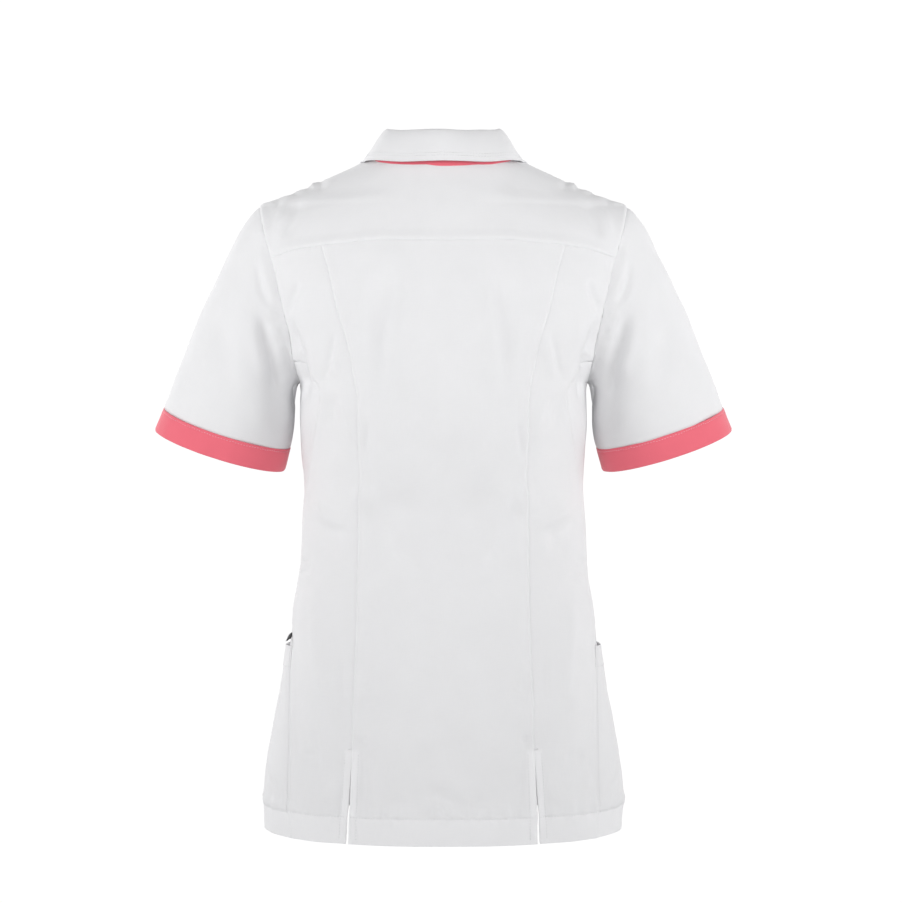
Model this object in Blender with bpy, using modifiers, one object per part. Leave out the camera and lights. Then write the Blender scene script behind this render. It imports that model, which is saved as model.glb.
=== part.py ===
"""A short-sleeved women's medical tunic, filled out as when worn, with no wearer.

Metres, +Z up. The wearer faces -Y and the wearer's left is +X. The origin is at the base of
the neck, midway between the shoulders, level with where the shoulder line meets the collar.

The cloth of the body is cut from one surface, body_surface(turn, height). Turn is an angle
about the vertical, in radians: 0 at the wearer's left side, pi / 2 at the centre of the back
and -pi / 2 at the centre of the front. Each panel is a patch of that surface between seams, with
a cloth's thickness, and neighbours share their seam's stations.
"""

import math

import bmesh
import bpy
import numpy as np
from mathutils import Vector

# ---------------------------------------------------------------- driving sizes

CLOTH = 0.0016  # thickness of a wall of cloth
SEAM_GAP = 0.0003  # between two pieces at a seam
STEP = 1e-3  # how far apart two points are that give a direction on a surface
LAYER = CLOTH + SEAM_GAP  # from one layer of cloth to the next that lies on it

HEM = -0.6935  # height of the hem
ARM_LEVEL = -0.240  # top of the stations shared by every vertical seam
UNDERARM = -0.228  # lowest point of the armhole
SHOULDER_TIP = -0.0447  # highest point of the armhole
SLIT_TOP = -0.5989  # where the slits in the back princess seams start
SLIT_OPEN = 0.0030  # width of a slit at the hem
SIDE_SEAM_TOP = -0.206  # where the side seam meets the back of the armhole
WRAP = 0.015  # how far each front reaches past the centre
WRAP_FADE = 0.030  # width over which the fronts come back to one layer beside it
V_BOTTOM = -0.112  # where the front edges cross
NECK_FOOT = -0.124  # and where each turns into the neckline

# Sections of the body. Depths are from the vertical axis to the middle of the back or front,
# and the squareness is a superellipse's exponent. The half widths between the underarm and
# the shoulder tip follow from the armhole, below.
BODY_COLUMNS = "height half_width back_depth front_depth back_square front_square"
BODY = (
    (0.0220, 0.0560, 0.0500, 0.0460, 2.00, 2.00),
    (0.0120, 0.0670, 0.0570, 0.0530, 2.00, 2.00),
    (0.0000, 0.0895, 0.0635, 0.0600, 1.90, 1.85),
    (-0.0150, 0.1240, 0.0700, 0.0670, 1.72, 1.70),
    (-0.0300, 0.1590, 0.0760, 0.0735, 1.62, 1.62),
    (SHOULDER_TIP, 0.1920, 0.0815, 0.0800, 1.60, 1.62),
    (-0.0800, 0.1920, 0.0925, 0.0945, 1.90, 1.85),
    (-0.1300, 0.1700, 0.1040, 0.1110, 2.25, 2.15),
    (-0.1800, 0.1600, 0.1105, 0.1250, 2.35, 2.30),
    (UNDERARM, 0.1490, 0.1125, 0.1340, 2.40, 2.40),
    (-0.2670, 0.1500, 0.1100, 0.1355, 2.40, 2.40),
    (-0.3090, 0.1474, 0.1040, 0.1290, 2.35, 2.35),
    (-0.3350, 0.1462, 0.1000, 0.1235, 2.30, 2.30),
    (-0.3720, 0.1482, 0.0965, 0.1190, 2.30, 2.30),
    (-0.4140, 0.1502, 0.0975, 0.1180, 2.30, 2.30),
    (-0.4350, 0.1522, 0.1005, 0.1190, 2.30, 2.30),
    (-0.4600, 0.1568, 0.1060, 0.1220, 2.30, 2.30),
    (-0.4980, 0.1600, 0.1140, 0.1265, 2.30, 2.30),
    (-0.5405, 0.1672, 0.1235, 0.1320, 2.30, 2.25),
    (-0.5826, 0.1752, 0.1310, 0.1365, 2.30, 2.25),
    (-0.6250, 0.1832, 0.1360, 0.1400, 2.25, 2.20),
    (-0.6560, 0.1868, 0.1390, 0.1430, 2.25, 2.20),
    (HEM - 0.0100, 0.1880, 0.1415, 0.1460, 2.25, 2.20),
)

# The back edge of the armhole, from the shoulder tip to the underarm.
ARMHOLE_COLUMNS = "height from_centre"
ARMHOLE = (
    (SHOULDER_TIP, 0.1920),
    (-0.0600, 0.1885),
    (-0.0884, 0.1808),
    (-0.1094, 0.1747),
    (-0.1378, 0.1685),
    (-0.1634, 0.1628),
    (-0.1839, 0.1580),
    (-0.2053, 0.1545),
    (UNDERARM, 0.1490),
)
ARMHOLE_BACK = 0.0560  # how far the armhole reaches behind the shoulder line
ARMHOLE_FRONT = 0.0640  # and before it

# Seams of the back, as distances from the centre of the back.
PRINCESS_COLUMNS = "height from_centre"
PRINCESS = (
    (-0.0800, 0.1262),
    (-0.0886, 0.1245),
    (-0.1137, 0.1171),
    (-0.1546, 0.1077),
    (-0.1852, 0.0984),
    (-0.2182, 0.0918),
    (-0.2461, 0.0877),
    (-0.2816, 0.0868),
    (-0.3300, 0.0850),
    (-0.3736, 0.0868),
    (-0.4245, 0.0872),
    (-0.4747, 0.0879),
    (-0.5244, 0.0896),
    (-0.5591, 0.0914),
    (SLIT_TOP, 0.0927),
    (-0.6487, 0.0946),
    (HEM - 0.0100, 0.0961),
)
SIDE_SEAM_COLUMNS = "height from_centre"
SIDE_SEAM = (
    (SIDE_SEAM_TOP, 0.1500),
    (-0.2200, 0.1360),
    (-0.2378, 0.1270),
    (-0.2562, 0.1290),
    (-0.2872, 0.1344),
    (-0.3132, 0.1387),
    (-0.3359, 0.1415),
    (-0.3800, 0.1445),
    (-0.4300, 0.1490),
    (-0.4832, 0.1570),
    (-0.5086, 0.1568),
    (-0.5550, 0.1560),
    (-0.6100, 0.1555),
    (HEM - 0.0100, 0.1567),
)
YOKE_SEAM_COLUMNS = "from_centre height"
YOKE_SEAM = (
    (0.0000, -0.0842),
    (0.0595, -0.0832),
    (0.0953, -0.0856),
    (0.1262, -0.0886),
    (0.1471, -0.0912),
    (0.1800, -0.1010),
)

# The neckline over the shoulders, and down the front to the first button.
YOKE_SPLIT = 0.1245  # where the princess seams meet the yoke, from the centre
NAPE = -0.0052  # height of the neckline at the centre of the back
NECK_SIDE = 0.0080  # and on the shoulder line
NECK_RISE = 4  # the power with which it rises between them
FRONT_NECK_COLUMNS = "degrees_before_the_shoulder height"
FRONT_NECK = (
    (0.0, NECK_SIDE),
    (14.0, 0.0062),
    (31.0, -0.0015),
    (49.0, -0.0200),
    (65.4, -0.0500),
    (81.0, -0.0850),
    (92.2, V_BOTTOM),
)
FRONT_YOKE_NECK = 40.0  # where the front yoke seam meets the neckline, in the same degrees
FRONT_YOKE_ARM = -0.0720  # and at the armhole
ARM_FOOT = -0.1850  # height at which the armhole's foot turns up its front

# Soft folds of the body, as ridges (height above the cloth, positive) or troughs (negative).
# A fold's line starts at (from_centre, top) and runs down to bottom, leaning sideways by lean.
FOLD_COLUMNS = "side from_centre top bottom lean half_width rise"
FOLDS = (
    ("back", 0.0620, -0.100, -0.300, 0.004, 0.018, -0.0022),
    ("back", 0.0360, -0.110, -0.360, -0.004, 0.020, 0.0018),
    ("back", 0.0520, -0.330, -0.430, -0.020, 0.018, -0.0026),
    ("back", 0.0400, -0.420, -0.640, 0.012, 0.024, 0.0030),
    ("back", 0.0000, -0.400, -0.720, 0.000, 0.024, -0.0026),
    ("back", 0.1120, -0.230, -0.350, 0.008, 0.016, -0.0026),
    ("back", 0.1250, -0.440, -0.720, 0.004, 0.018, 0.0032),
    ("back", 0.1050, -0.540, -0.720, -0.002, 0.016, -0.0028),
    ("front", 0.0450, -0.280, -0.480, 0.006, 0.020, -0.0032),
    ("front", 0.1150, -0.290, -0.460, 0.010, 0.018, -0.0030),
    ("front", 0.0800, -0.430, -0.720, 0.012, 0.026, 0.0040),
    ("front", 0.1450, -0.520, -0.720, 0.010, 0.018, 0.0040),
)
BUST = {"from_centre": 0.080, "height": -0.255, "reach": 0.060, "rise": 0.013, "fade": 0.6}

# Sleeve: the ring of its lower edge, and the raspberry band that ends it.
CUFF_WIDTH = 0.0245
CUFF_CLOTH = 0.0022
SLEEVE_END_OUTER = (0.3045, -0.2770)  # from_centre and height of the band's outer corner
SLEEVE_END_INNER = (0.1689, -0.3199)
SLEEVE_DOWN = (0.339, -0.941)  # the way down the arm, out and up
SLEEVE_HALF_DEPTH = 0.0590
SLEEVE_TAPER = 0.95  # loss of width up the arm, a metre
SLEEVE_FORWARD = -0.0180  # how far the lower end swings to the front
SLEEVE_BACK_DROP = 0.0085  # how far its back edge hangs below its middle
SLEEVE_LEAVES = (0.086, 0.034)  # how strongly it leaves the armhole, on top and under the arm
SLEEVE_ARRIVES = (0.185, 0.080)  # and arrives at the band
UNDERARM_LIFT = 0.10  # rise of the sleeve's first few millimetres under the arm

# Collar: a raspberry stand that rises from the neckline, and the white leaf that folds over it.
# A station is 0 at the centre of the back, 1 on the shoulder line and 2 at the collar's front end.
# Offsets are from the neckline: out from the body, and up (along the cloth, at the front).
COLLAR_END = 78.0  # degrees before the shoulder at which the collar ends
COLLAR_CLOTH = 0.0018
COLLAR_CLEAR = 0.0020  # between the leaf and the shoulder below it
STAND_LEAN = 1.5  # the power of its height with which the stand leans
LEAF_START = 0.0015  # from the top of the stand to the edge of the leaf, before its fold
LEAF_FOLD = ((1.0, 1.2), (2.2, 1.7))  # the fold's guide points, out and up, in its rolls
COLLAR_SHAPE_COLUMNS = "station stand_height stand_out leaf_out leaf_up roll follow"
COLLAR_SHAPE = (
    (0.00, 0.0342, -0.0060, 0.0095, 0.0036, 0.0040, 0.00),
    (0.55, 0.0322, -0.0130, 0.0090, 0.0008, 0.0036, 0.00),
    (1.00, 0.0246, -0.0205, 0.0110, -0.0050, 0.0030, 0.00),
    (1.40, 0.0165, -0.0090, 0.0180, -0.0200, 0.0030, 0.50),
    (1.75, 0.0080, 0.0000, 0.0070, -0.0420, 0.0032, 1.00),
    (2.00, 0.0045, 0.0005, 0.0045, -0.0560, 0.0034, 1.00),
)

BUTTON_RADIUS = 0.0075
BUTTON_THICK = 0.0026
BUTTON_DISH = 0.0007  # depth of the hollow in its face
BUTTON_ROWS = (22, 18, 14, 10, 6)  # rows of the fronts at which the buttons sit
BUTTON_REST = 0.0008  # from the cloth to a button, over the thread
BUTTON_EDGE = 0.0006  # bevel round both faces
BUTTON_RIM = (0.72, 0.62)  # shares of its radius at the top and foot of the hollow's wall

# Hip pockets, as the panel's columns and rows that they cover.
POCKET_COLUMNS = (4, 14)
POCKET_ROWS = (1, 8)
POCKET_POUCH = 0.0030  # how far its mouth stands off the front
POCKET_RISE = 3  # the power of its height with which it does
TAB = {"height": -0.4925, "long": 0.0070, "wide": 0.0115, "thick": 0.0010, "lean": 0.45}

# Stations, and so triangles, along the seams.
CENTRE_COLUMNS = 12
SIDE_COLUMNS = 5
FRONT_COLUMNS = 12
LOWER_ROWS = 19  # from the hem to the underarm
CORNER_ROWS = 4  # from there to the top of the side seam
UPPER_ROWS = 5  # along the back of the armhole, below the yoke
YOKE_ARM_ROWS = 5  # along the armhole, from the shoulder tip to either end of the yoke
FRONT_ARM_ROWS = 6  # along the front of the armhole
FRONT_BLEND = 3  # the power with which a front's rows go over from the hem to the arm's foot
ARM_FOOT_COLUMNS = 5  # under the arm, from the side seam to the front of the armhole
YOKE_ROWS = 7
YOKE_CROWD = 1.5  # its rows draw together at the neck, where it curves most
SLEEVE_ROWS = 9
SLEEVE_CROWD = 1.25  # its rows draw together at the armhole
CUFF_ROWS = 2
COLLAR_COLUMNS_HALF = 18
STAND_ROWS = 3
LEAF_ROWS = 8
LEAF_CROWD = 1.5  # its rows draw together at the fold
LEAF_LOW = 4  # the row from which it lies over the shoulders
BUTTON_SIDES = 16

WHITE = (0.86, 0.86, 0.87)
RASPBERRY = (0.80, 0.13, 0.20)
BLACK = (0.03, 0.03, 0.03)


# ---------------------------------------------------------------- curves through short tables


def smooth_curve(rows, key=0, value=1):
    """A smooth function through a table's rows, with no overshoot between them."""
    rows = sorted(rows, key=lambda row: row[key])
    x = np.array([row[key] for row in rows], float)
    y = np.array([row[value] for row in rows], float)
    step = np.diff(x)
    slope = np.diff(y) / step
    tangent = np.zeros(len(x))
    tangent[0], tangent[-1] = slope[0], slope[-1]
    for i in range(1, len(x) - 1):
        if slope[i - 1] * slope[i] > 0:
            near, far = 2 * step[i] + step[i - 1], step[i] + 2 * step[i - 1]
            tangent[i] = (near + far) / (near / slope[i - 1] + far / slope[i])

    def curve(at):
        at = np.clip(np.asarray(at, float), x[0], x[-1])
        i = np.clip(np.searchsorted(x, at) - 1, 0, len(x) - 2)
        t = (at - x[i]) / step[i]
        return (
            (1 + 2 * t) * (1 - t) ** 2 * y[i]
            + t * (1 - t) ** 2 * step[i] * tangent[i]
            + t * t * (3 - 2 * t) * y[i + 1]
            + t * t * (t - 1) * step[i] * tangent[i + 1]
        )

    return curve


def ease(t):
    """0 to 1 with level ends."""
    t = np.clip(t, 0.0, 1.0)
    return t * t * (3 - 2 * t)


half_width_table = smooth_curve(BODY, 0, 1)
back_depth = smooth_curve(BODY, 0, 2)
front_depth = smooth_curve(BODY, 0, 3)
back_square = smooth_curve(BODY, 0, 4)
front_square = smooth_curve(BODY, 0, 5)
armhole_out = smooth_curve(ARMHOLE)
princess_out = smooth_curve(PRINCESS)
side_seam_out = smooth_curve(SIDE_SEAM)
yoke_seam_height = smooth_curve(YOKE_SEAM)


# ---------------------------------------------------------------- the body's surface


def armhole_share(height):
    """How open the armhole is at a height: 0 at its ends, 1 in its middle."""
    middle, half = (SHOULDER_TIP + UNDERARM) / 2, (SHOULDER_TIP - UNDERARM) / 2
    return np.sqrt(np.clip(1 - ((height - middle) / half) ** 2, 0.0, 1.0))


def half_width(height):
    """Between underarm and shoulder tip, the section is wide enough to pass through the armhole's edge."""
    height = np.asarray(height, float)
    square = back_square(height)
    share = ARMHOLE_BACK * armhole_share(height) / back_depth(height)
    through = armhole_out(height) * (1 - share**square) ** (-1 / square)
    return np.where((height > UNDERARM) & (height < SHOULDER_TIP), through, half_width_table(height))


def fold_rise(x, y, height):
    """Height of the soft folds above the plain section."""
    rise = np.zeros_like(height)
    for side, from_centre, top, bottom, lean, half, depth in FOLDS:
        along = (top - height) / (top - bottom)
        across = (np.abs(x) - (from_centre + lean * along)) / half
        inside = ease(4 * along) * ease(4 * (1 - along)) * ((along > 0) & (along < 1))
        facing = (y > 0) if side == "back" else (y < 0)
        rise += depth * inside * np.exp(-across * across) * facing
    return rise


def body_surface(turn, height):
    """Points of the middle of the cloth at each turn and height."""
    turn, height = np.broadcast_arrays(np.asarray(turn, float), np.asarray(height, float))
    cosine, sine = np.cos(turn), np.sin(turn)
    at_back = sine >= 0
    depth = np.where(at_back, back_depth(height), front_depth(height))
    square = np.where(at_back, back_square(height), front_square(height))
    width = half_width(height)
    radius = (np.abs(cosine / width) ** square + np.abs(sine / depth) ** square) ** (-1 / square)
    x, y = radius * cosine, radius * sine
    off_bust = (np.abs(x) - BUST["from_centre"]) ** 2 + (height - BUST["height"]) ** 2
    radius = radius + BUST["rise"] * np.exp(-off_bust / BUST["reach"] ** 2) * ease(-sine / BUST["fade"])
    radius = radius + fold_rise(x, y, height)
    return np.stack([radius * cosine, radius * sine, height], axis=-1)


def unit(vectors):
    return vectors / np.maximum(np.linalg.norm(vectors, axis=-1, keepdims=True), 1e-12)


def body_normal(turn, height):
    """Outward directions of the body's surface."""
    turn, height = np.broadcast_arrays(np.asarray(turn, float), np.asarray(height, float))
    round_it = body_surface(turn + STEP, height) - body_surface(turn - STEP, height)
    up_it = body_surface(turn, height + STEP) - body_surface(turn, height - STEP)
    return unit(np.cross(round_it, up_it))


def turn_at(from_centre, height, back=True):
    """The turn, on the wearer's left, at which the surface is this far from the centre line."""
    square = back_square(height) if back else front_square(height)
    depth = back_depth(height) if back else front_depth(height)
    share = np.clip(np.abs(from_centre) / half_width(height), 0.0, 1.0)
    y = depth * (1 - share**square) ** (1 / square)
    return np.arctan2(y if back else -y, from_centre)


# ---------------------------------------------------------------- seams, as (turn, height) stations


def armhole_station(around):
    """A station of the left armhole. Around is 0 at the shoulder tip, pi at the underarm, positive behind."""
    around = np.asarray(around, float)
    middle, half = (SHOULDER_TIP + UNDERARM) / 2, (SHOULDER_TIP - UNDERARM) / 2
    height = middle + half * np.cos(around)
    reach = np.where(around > 0, ARMHOLE_BACK, ARMHOLE_FRONT)
    depth = np.where(around > 0, back_depth(height), front_depth(height))
    square = np.where(around > 0, back_square(height), front_square(height))
    y = reach * np.abs(np.sin(around))
    x = half_width(height) * (1 - (y / depth) ** square) ** (1 / square)
    return np.stack([np.arctan2(np.sign(around) * y, x), height], axis=-1)


def around_at(height, back=True):
    """The place round the armhole at a height, behind or in front."""
    middle, half = (SHOULDER_TIP + UNDERARM) / 2, (SHOULDER_TIP - UNDERARM) / 2
    around = math.acos(max(-1.0, min(1.0, (height - middle) / half)))
    return around if back else -around


def yoke_corner():
    """Where the back yoke seam meets the armhole."""
    low, high = around_at(-0.060), around_at(-0.140)
    for _ in range(50):
        middle = (low + high) / 2
        turn, height = armhole_station(middle)
        point = body_surface(turn, height)
        if height > yoke_seam_height(point[0]):
            low = middle
        else:
            high = middle
    return middle


YOKE_CORNER = yoke_corner()
SEAM_CORNER = around_at(SIDE_SEAM_TOP)
FRONT_CORNER = around_at(FRONT_YOKE_ARM, back=False)
FOOT_CORNER = around_at(ARM_FOOT, back=False)


def stations(first, last, count):
    return np.linspace(first, last, count + 1)


def hem_line(start, end, count):
    """Stations along the hem between two turns."""
    turns = stations(start, end, count)
    return np.stack([turns, np.full(len(turns), HEM)], axis=-1)


def seam_heights():
    """Heights shared by every vertical seam below the underarm."""
    return stations(HEM, ARM_LEVEL, LOWER_ROWS)


def princess_seam(open_by=0.0):
    """The left princess seam from the hem to the yoke; open_by parts it below the top of the slit."""
    upper = stations(ARM_LEVEL, yoke_seam_height(YOKE_SPLIT), CORNER_ROWS + UPPER_ROWS)[1:]
    heights = np.concatenate([seam_heights(), upper])
    slit = np.clip((SLIT_TOP - heights) / (SLIT_TOP - HEM), 0.0, 1.0)
    out = princess_out(heights) + open_by * slit
    return np.stack([turn_at(out, heights), heights], axis=-1)


def side_seam():
    """The left side seam from the hem to the back of the armhole."""
    heights = np.concatenate([seam_heights(), stations(ARM_LEVEL, SIDE_SEAM_TOP, CORNER_ROWS)[1:]])
    seam = np.stack([turn_at(side_seam_out(heights), heights), heights], axis=-1)
    seam[-1] = armhole_station(SEAM_CORNER)
    return seam


def armhole_part(first, last, count):
    return armhole_station(stations(first, last, count))


def yoke_seam(first_out, last_out, count, last=None):
    """Stations of the back yoke seam between two distances from the centre."""
    outs = stations(first_out, last_out, count)
    heights = yoke_seam_height(outs)
    seam = np.stack([turn_at(outs, heights), heights], axis=-1)
    if last is not None:
        seam[-1] = last
    return seam


def neckline_height(turn):
    """Height of the body's upper edge at a turn, on the wearer's left."""
    foot = (-math.degrees(turn_at(-WRAP, NECK_FOOT, False)), NECK_FOOT)
    before = smooth_curve((*FRONT_NECK, foot))(-np.degrees(turn))
    behind = NAPE + (NECK_SIDE - NAPE) * np.cos(turn) ** NECK_RISE
    return np.where(np.asarray(turn) > 0, behind, before)


def neck_line(first, last, count):
    """Stations along the neckline between two turns."""
    turns = stations(first, last, count)
    return np.stack([turns, neckline_height(turns)], axis=-1)


def front_line(beyond=0.0):
    """The left front's inner edge from the hem to the foot of the neckline, or a line this far beyond it."""
    heights = np.concatenate([seam_heights(), stations(ARM_LEVEL, NECK_FOOT, CORNER_ROWS)[1:]])
    return np.stack([turn_at(beyond - WRAP, heights, False), heights], axis=-1)


def mirrored(line):
    """The same stations on the wearer's right."""
    return np.stack([math.pi - line[:, 0], line[:, 1]], axis=-1)


# ---------------------------------------------------------------- panels and sheets of cloth


def patch(bottom, top, left, right, up=None):
    """(turn, height) of a grid whose edges are four lines of stations, blended across its inside.

    up says how far each row has gone over from the bottom's shape to the top's.
    """
    across = np.linspace(0, 1, len(bottom))[:, None, None]
    up = (stations(0, 1, len(left) - 1) if up is None else up)[None, :, None]
    sides = (1 - across) * left[None] + across * right[None]
    ends = (1 - up) * bottom[:, None] + up * top[:, None]
    corners = (1 - up) * ((1 - across) * bottom[0] + across * bottom[-1]) + up * (
        (1 - across) * top[0] + across * top[-1]
    )
    return sides + ends - corners


def join_grids(grids):
    """One sheet from grids of points and their normals: vertices, normals and four-sided faces."""
    numbers, points, normals, faces = {}, [], [], []
    for grid, outward in grids:
        columns, rows = grid.shape[:2]
        index = np.empty((columns, rows), int)
        for i, j in np.ndindex(columns, rows):
            place = tuple(np.round(grid[i, j], 7))
            if place not in numbers:
                numbers[place] = len(points)
                points.append(grid[i, j])
                normals.append(outward[i, j])
            index[i, j] = numbers[place]
        for i, j in np.ndindex(columns - 1, rows - 1):
            faces.append((index[i, j], index[i + 1, j], index[i + 1, j + 1], index[i, j + 1]))
    return np.array(points), np.array(normals), faces


def free_edges(faces):
    """The sheet's free edges, as (start, end) in the order in which its faces run."""
    edges = {(face[k], face[(k + 1) % 4]) for face in faces for k in range(4)}
    return [(a, b) for a, b in edges if (b, a) not in edges]


def parted(points, normals, faces):
    """The sheet's points with half a seam's gap taken off its free edges."""
    points = points.copy()
    after = dict(free_edges(faces))
    before = {b: a for a, b in after.items()}
    facing = np.cross(points[faces[0][1]] - points[faces[0][0]], points[faces[0][3]] - points[faces[0][0]])
    way = np.sign(facing @ normals[faces[0][0]])
    moves = {}
    for at in after:
        along = unit(points[after[at]] - points[before[at]])
        moves[at] = unit(np.cross(normals[at], along)) * way * SEAM_GAP / 2
    for at, move in moves.items():
        points[at] += move
    return points


def sheet_mesh(points, faces):
    """An open sheet. Every face is split the same way, so that layers of cloth nest."""
    mesh = bmesh.new()
    corners = [mesh.verts.new(p) for p in points]
    for a, b, c, d in faces:
        mesh.faces.new((corners[a], corners[b], corners[c]))
        mesh.faces.new((corners[a], corners[c], corners[d]))
    return mesh


def finish(name, mesh, material):
    """Turns a bmesh into a named object with its material."""
    data = bpy.data.meshes.new(name)
    mesh.to_mesh(data)
    mesh.free()
    data.materials.append(material)
    data.shade_smooth()
    data.set_sharp_from_angle(angle=math.radians(50))
    piece = bpy.data.objects.new(name, data)
    garment.objects.link(piece)
    return piece


def cloth(name, points, faces, material, thick=CLOTH):
    """A piece of cloth: a sheet at the middle of its thickness, made solid."""
    piece = finish(name, sheet_mesh(points, faces), material)
    wall = piece.modifiers.new("cloth", "SOLIDIFY")
    wall.thickness = thick
    wall.offset = 0.0
    return piece


def grid_cloth(name, points, material, thick=CLOTH, closed=False):
    """A piece of cloth from one grid of points. A closed grid joins its last column to its first."""
    if closed:
        points = np.concatenate([points, points[:1]])
    sheet, _, faces = join_grids([(points, points)])
    return cloth(name, sheet, faces, material, thick)


def panel(name, grids, material, lift=None):
    """A panel of the body from its (turn, height) grids; lift moves its points out of the surface."""
    placed = []
    for grid in grids:
        points = body_surface(grid[..., 0], grid[..., 1])
        normals = body_normal(grid[..., 0], grid[..., 1])
        if lift is not None:
            points = points + normals * lift(points)[..., None]
        placed.append((points, normals))
    points, normals, faces = join_grids(placed)
    cloth(name, parted(points, normals, faces), faces, material)


def flipped(grid):
    """A left panel's grid on the wearer's right, with its columns turned about to face out."""
    right = grid[::-1].copy()
    right[..., 0] = math.pi - right[..., 0]
    return right


# ---------------------------------------------------------------- the back


def back_centre_grid():
    left = princess_seam()
    right = mirrored(left)
    outs = np.linspace(YOKE_SPLIT, -YOKE_SPLIT, CENTRE_COLUMNS + 1)
    heights = yoke_seam_height(np.abs(outs))
    top = np.stack([turn_at(np.abs(outs), heights), heights], axis=-1)
    top[outs < 0, 0] = math.pi - top[outs < 0, 0]
    left[-1], right[-1] = top[0], top[-1]
    return patch(hem_line(left[0, 0], right[0, 0], CENTRE_COLUMNS), top, left, right)


def back_side_grid():
    inner = princess_seam(SLIT_OPEN)
    corner = armhole_station(YOKE_CORNER)
    corner_out = body_surface(*corner)[0]
    arm = armhole_part(SEAM_CORNER, YOKE_CORNER, UPPER_ROWS)
    outer = np.concatenate([side_seam(), arm[1:]])
    top = yoke_seam(corner_out, YOKE_SPLIT, SIDE_COLUMNS, None)
    top[0] = corner
    inner[-1] = top[-1]
    return patch(hem_line(outer[0, 0], inner[0, 0], SIDE_COLUMNS), top, outer, inner)


def yoke_grid():
    """Half of the yoke: columns run from the centre of the back to the front yoke seam."""
    corner = armhole_station(YOKE_CORNER)
    corner_out = body_surface(*corner)[0]
    half = CENTRE_COLUMNS // 2
    outer = np.concatenate(
        [
            yoke_seam(0.0, YOKE_SPLIT, half),
            yoke_seam(YOKE_SPLIT, corner_out, SIDE_COLUMNS, corner)[1:],
            armhole_part(YOKE_CORNER, 0.0, YOKE_ARM_ROWS)[1:],
            armhole_part(0.0, FRONT_CORNER, YOKE_ARM_ROWS)[1:],
        ]
    )
    outer[0, 0] = math.pi / 2
    back_count = half + SIDE_COLUMNS + YOKE_ARM_ROWS - 3
    before = len(outer) - 1 - back_count
    neck = np.concatenate(
        [
            neck_line(math.pi / 2, 0.0, back_count),
            neck_line(0.0, -math.radians(FRONT_YOKE_NECK), before)[1:],
        ]
    )
    up = 1 - (1 - stations(0, 1, YOKE_ROWS)) ** YOKE_CROWD
    first = outer[0] + (neck[0] - outer[0]) * up[:, None]
    last = outer[-1] + (neck[-1] - outer[-1]) * up[:, None]
    return patch(outer, neck, first, last, up)


def arm_foot():
    """Places round the armhole under the arm, from the side seam forward."""
    return stations(SEAM_CORNER, FOOT_CORNER + 2 * math.pi, ARM_FOOT_COLUMNS)


def front_grids():
    """The left front as two grids, below the armhole and beside it. Columns run from the centre out."""
    foot = armhole_station(np.where(arm_foot() > math.pi, arm_foot() - 2 * math.pi, arm_foot()))[::-1]
    edge, middle, inner = (front_line(beyond) for beyond in (0.0, WRAP, 2 * WRAP))
    across = stations(0, 1, FRONT_COLUMNS - ARM_FOOT_COLUMNS)[:, None]
    level = inner[-1] * (1 - across) + foot[0] * across
    seam = side_seam()
    hem = hem_line(inner[0, 0], seam[0, 0], FRONT_COLUMNS)
    up = stations(0, 1, len(seam) - 1) ** FRONT_BLEND
    rest = patch(hem, np.concatenate([level, foot[1:]]), inner, seam, up)
    lower = np.concatenate([edge[None], middle[None], rest])
    neck = neck_line(lower[0, -1, 0], -math.radians(FRONT_YOKE_NECK), FRONT_ARM_ROWS)
    arm = armhole_part(FOOT_CORNER, FRONT_CORNER, FRONT_ARM_ROWS)
    chest = lower[: -ARM_FOOT_COLUMNS, -1]
    across = stations(0, 1, len(chest) - 1)[:, None]
    return [lower, patch(chest, neck[-1] * (1 - across) + arm[-1] * across, neck, arm)]


def front_lift(direction):
    """The fronts part at the centre, so that the right lies on the left."""

    def lift(points):
        near = 1 - ease((np.abs(points[..., 0]) - WRAP) / WRAP_FADE)
        return direction * near * LAYER / 2

    return lift


# ---------------------------------------------------------------- sleeves and their bands


def armhole_loop():
    """Every station of the left armhole once, up its front, down its back and under the arm."""
    parts = (
        stations(FOOT_CORNER, FRONT_CORNER, FRONT_ARM_ROWS),
        stations(FRONT_CORNER, 0.0, YOKE_ARM_ROWS)[1:],
        stations(0.0, YOKE_CORNER, YOKE_ARM_ROWS)[1:],
        stations(YOKE_CORNER, SEAM_CORNER, UPPER_ROWS)[1:],
        arm_foot()[1:-1],
    )
    return np.concatenate(parts)


def sleeve_end_frame():
    """The centre of the band's lower edge, the way across it and the way down the arm."""
    outer = np.array([SLEEVE_END_OUTER[0], SLEEVE_FORWARD, SLEEVE_END_OUTER[1]])
    inner = np.array([SLEEVE_END_INNER[0], SLEEVE_FORWARD, SLEEVE_END_INNER[1]])
    tilt = -SLEEVE_BACK_DROP / SLEEVE_HALF_DEPTH
    down = unit(np.array([SLEEVE_DOWN[0], tilt, SLEEVE_DOWN[1]]))
    return (outer + inner) / 2, (outer - inner) / 2, down


def sleeve_ring(around, above):
    """Points of the sleeve's lower part, this far up the arm from the band's lower edge."""
    centre, across, down = sleeve_end_frame()
    depth = np.array([0.0, SLEEVE_HALF_DEPTH, -SLEEVE_BACK_DROP])
    ring = np.cos(around)[..., None] * across + np.sin(around)[..., None] * depth
    return centre + ring * (1 - SLEEVE_TAPER * above) - down * above


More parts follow.
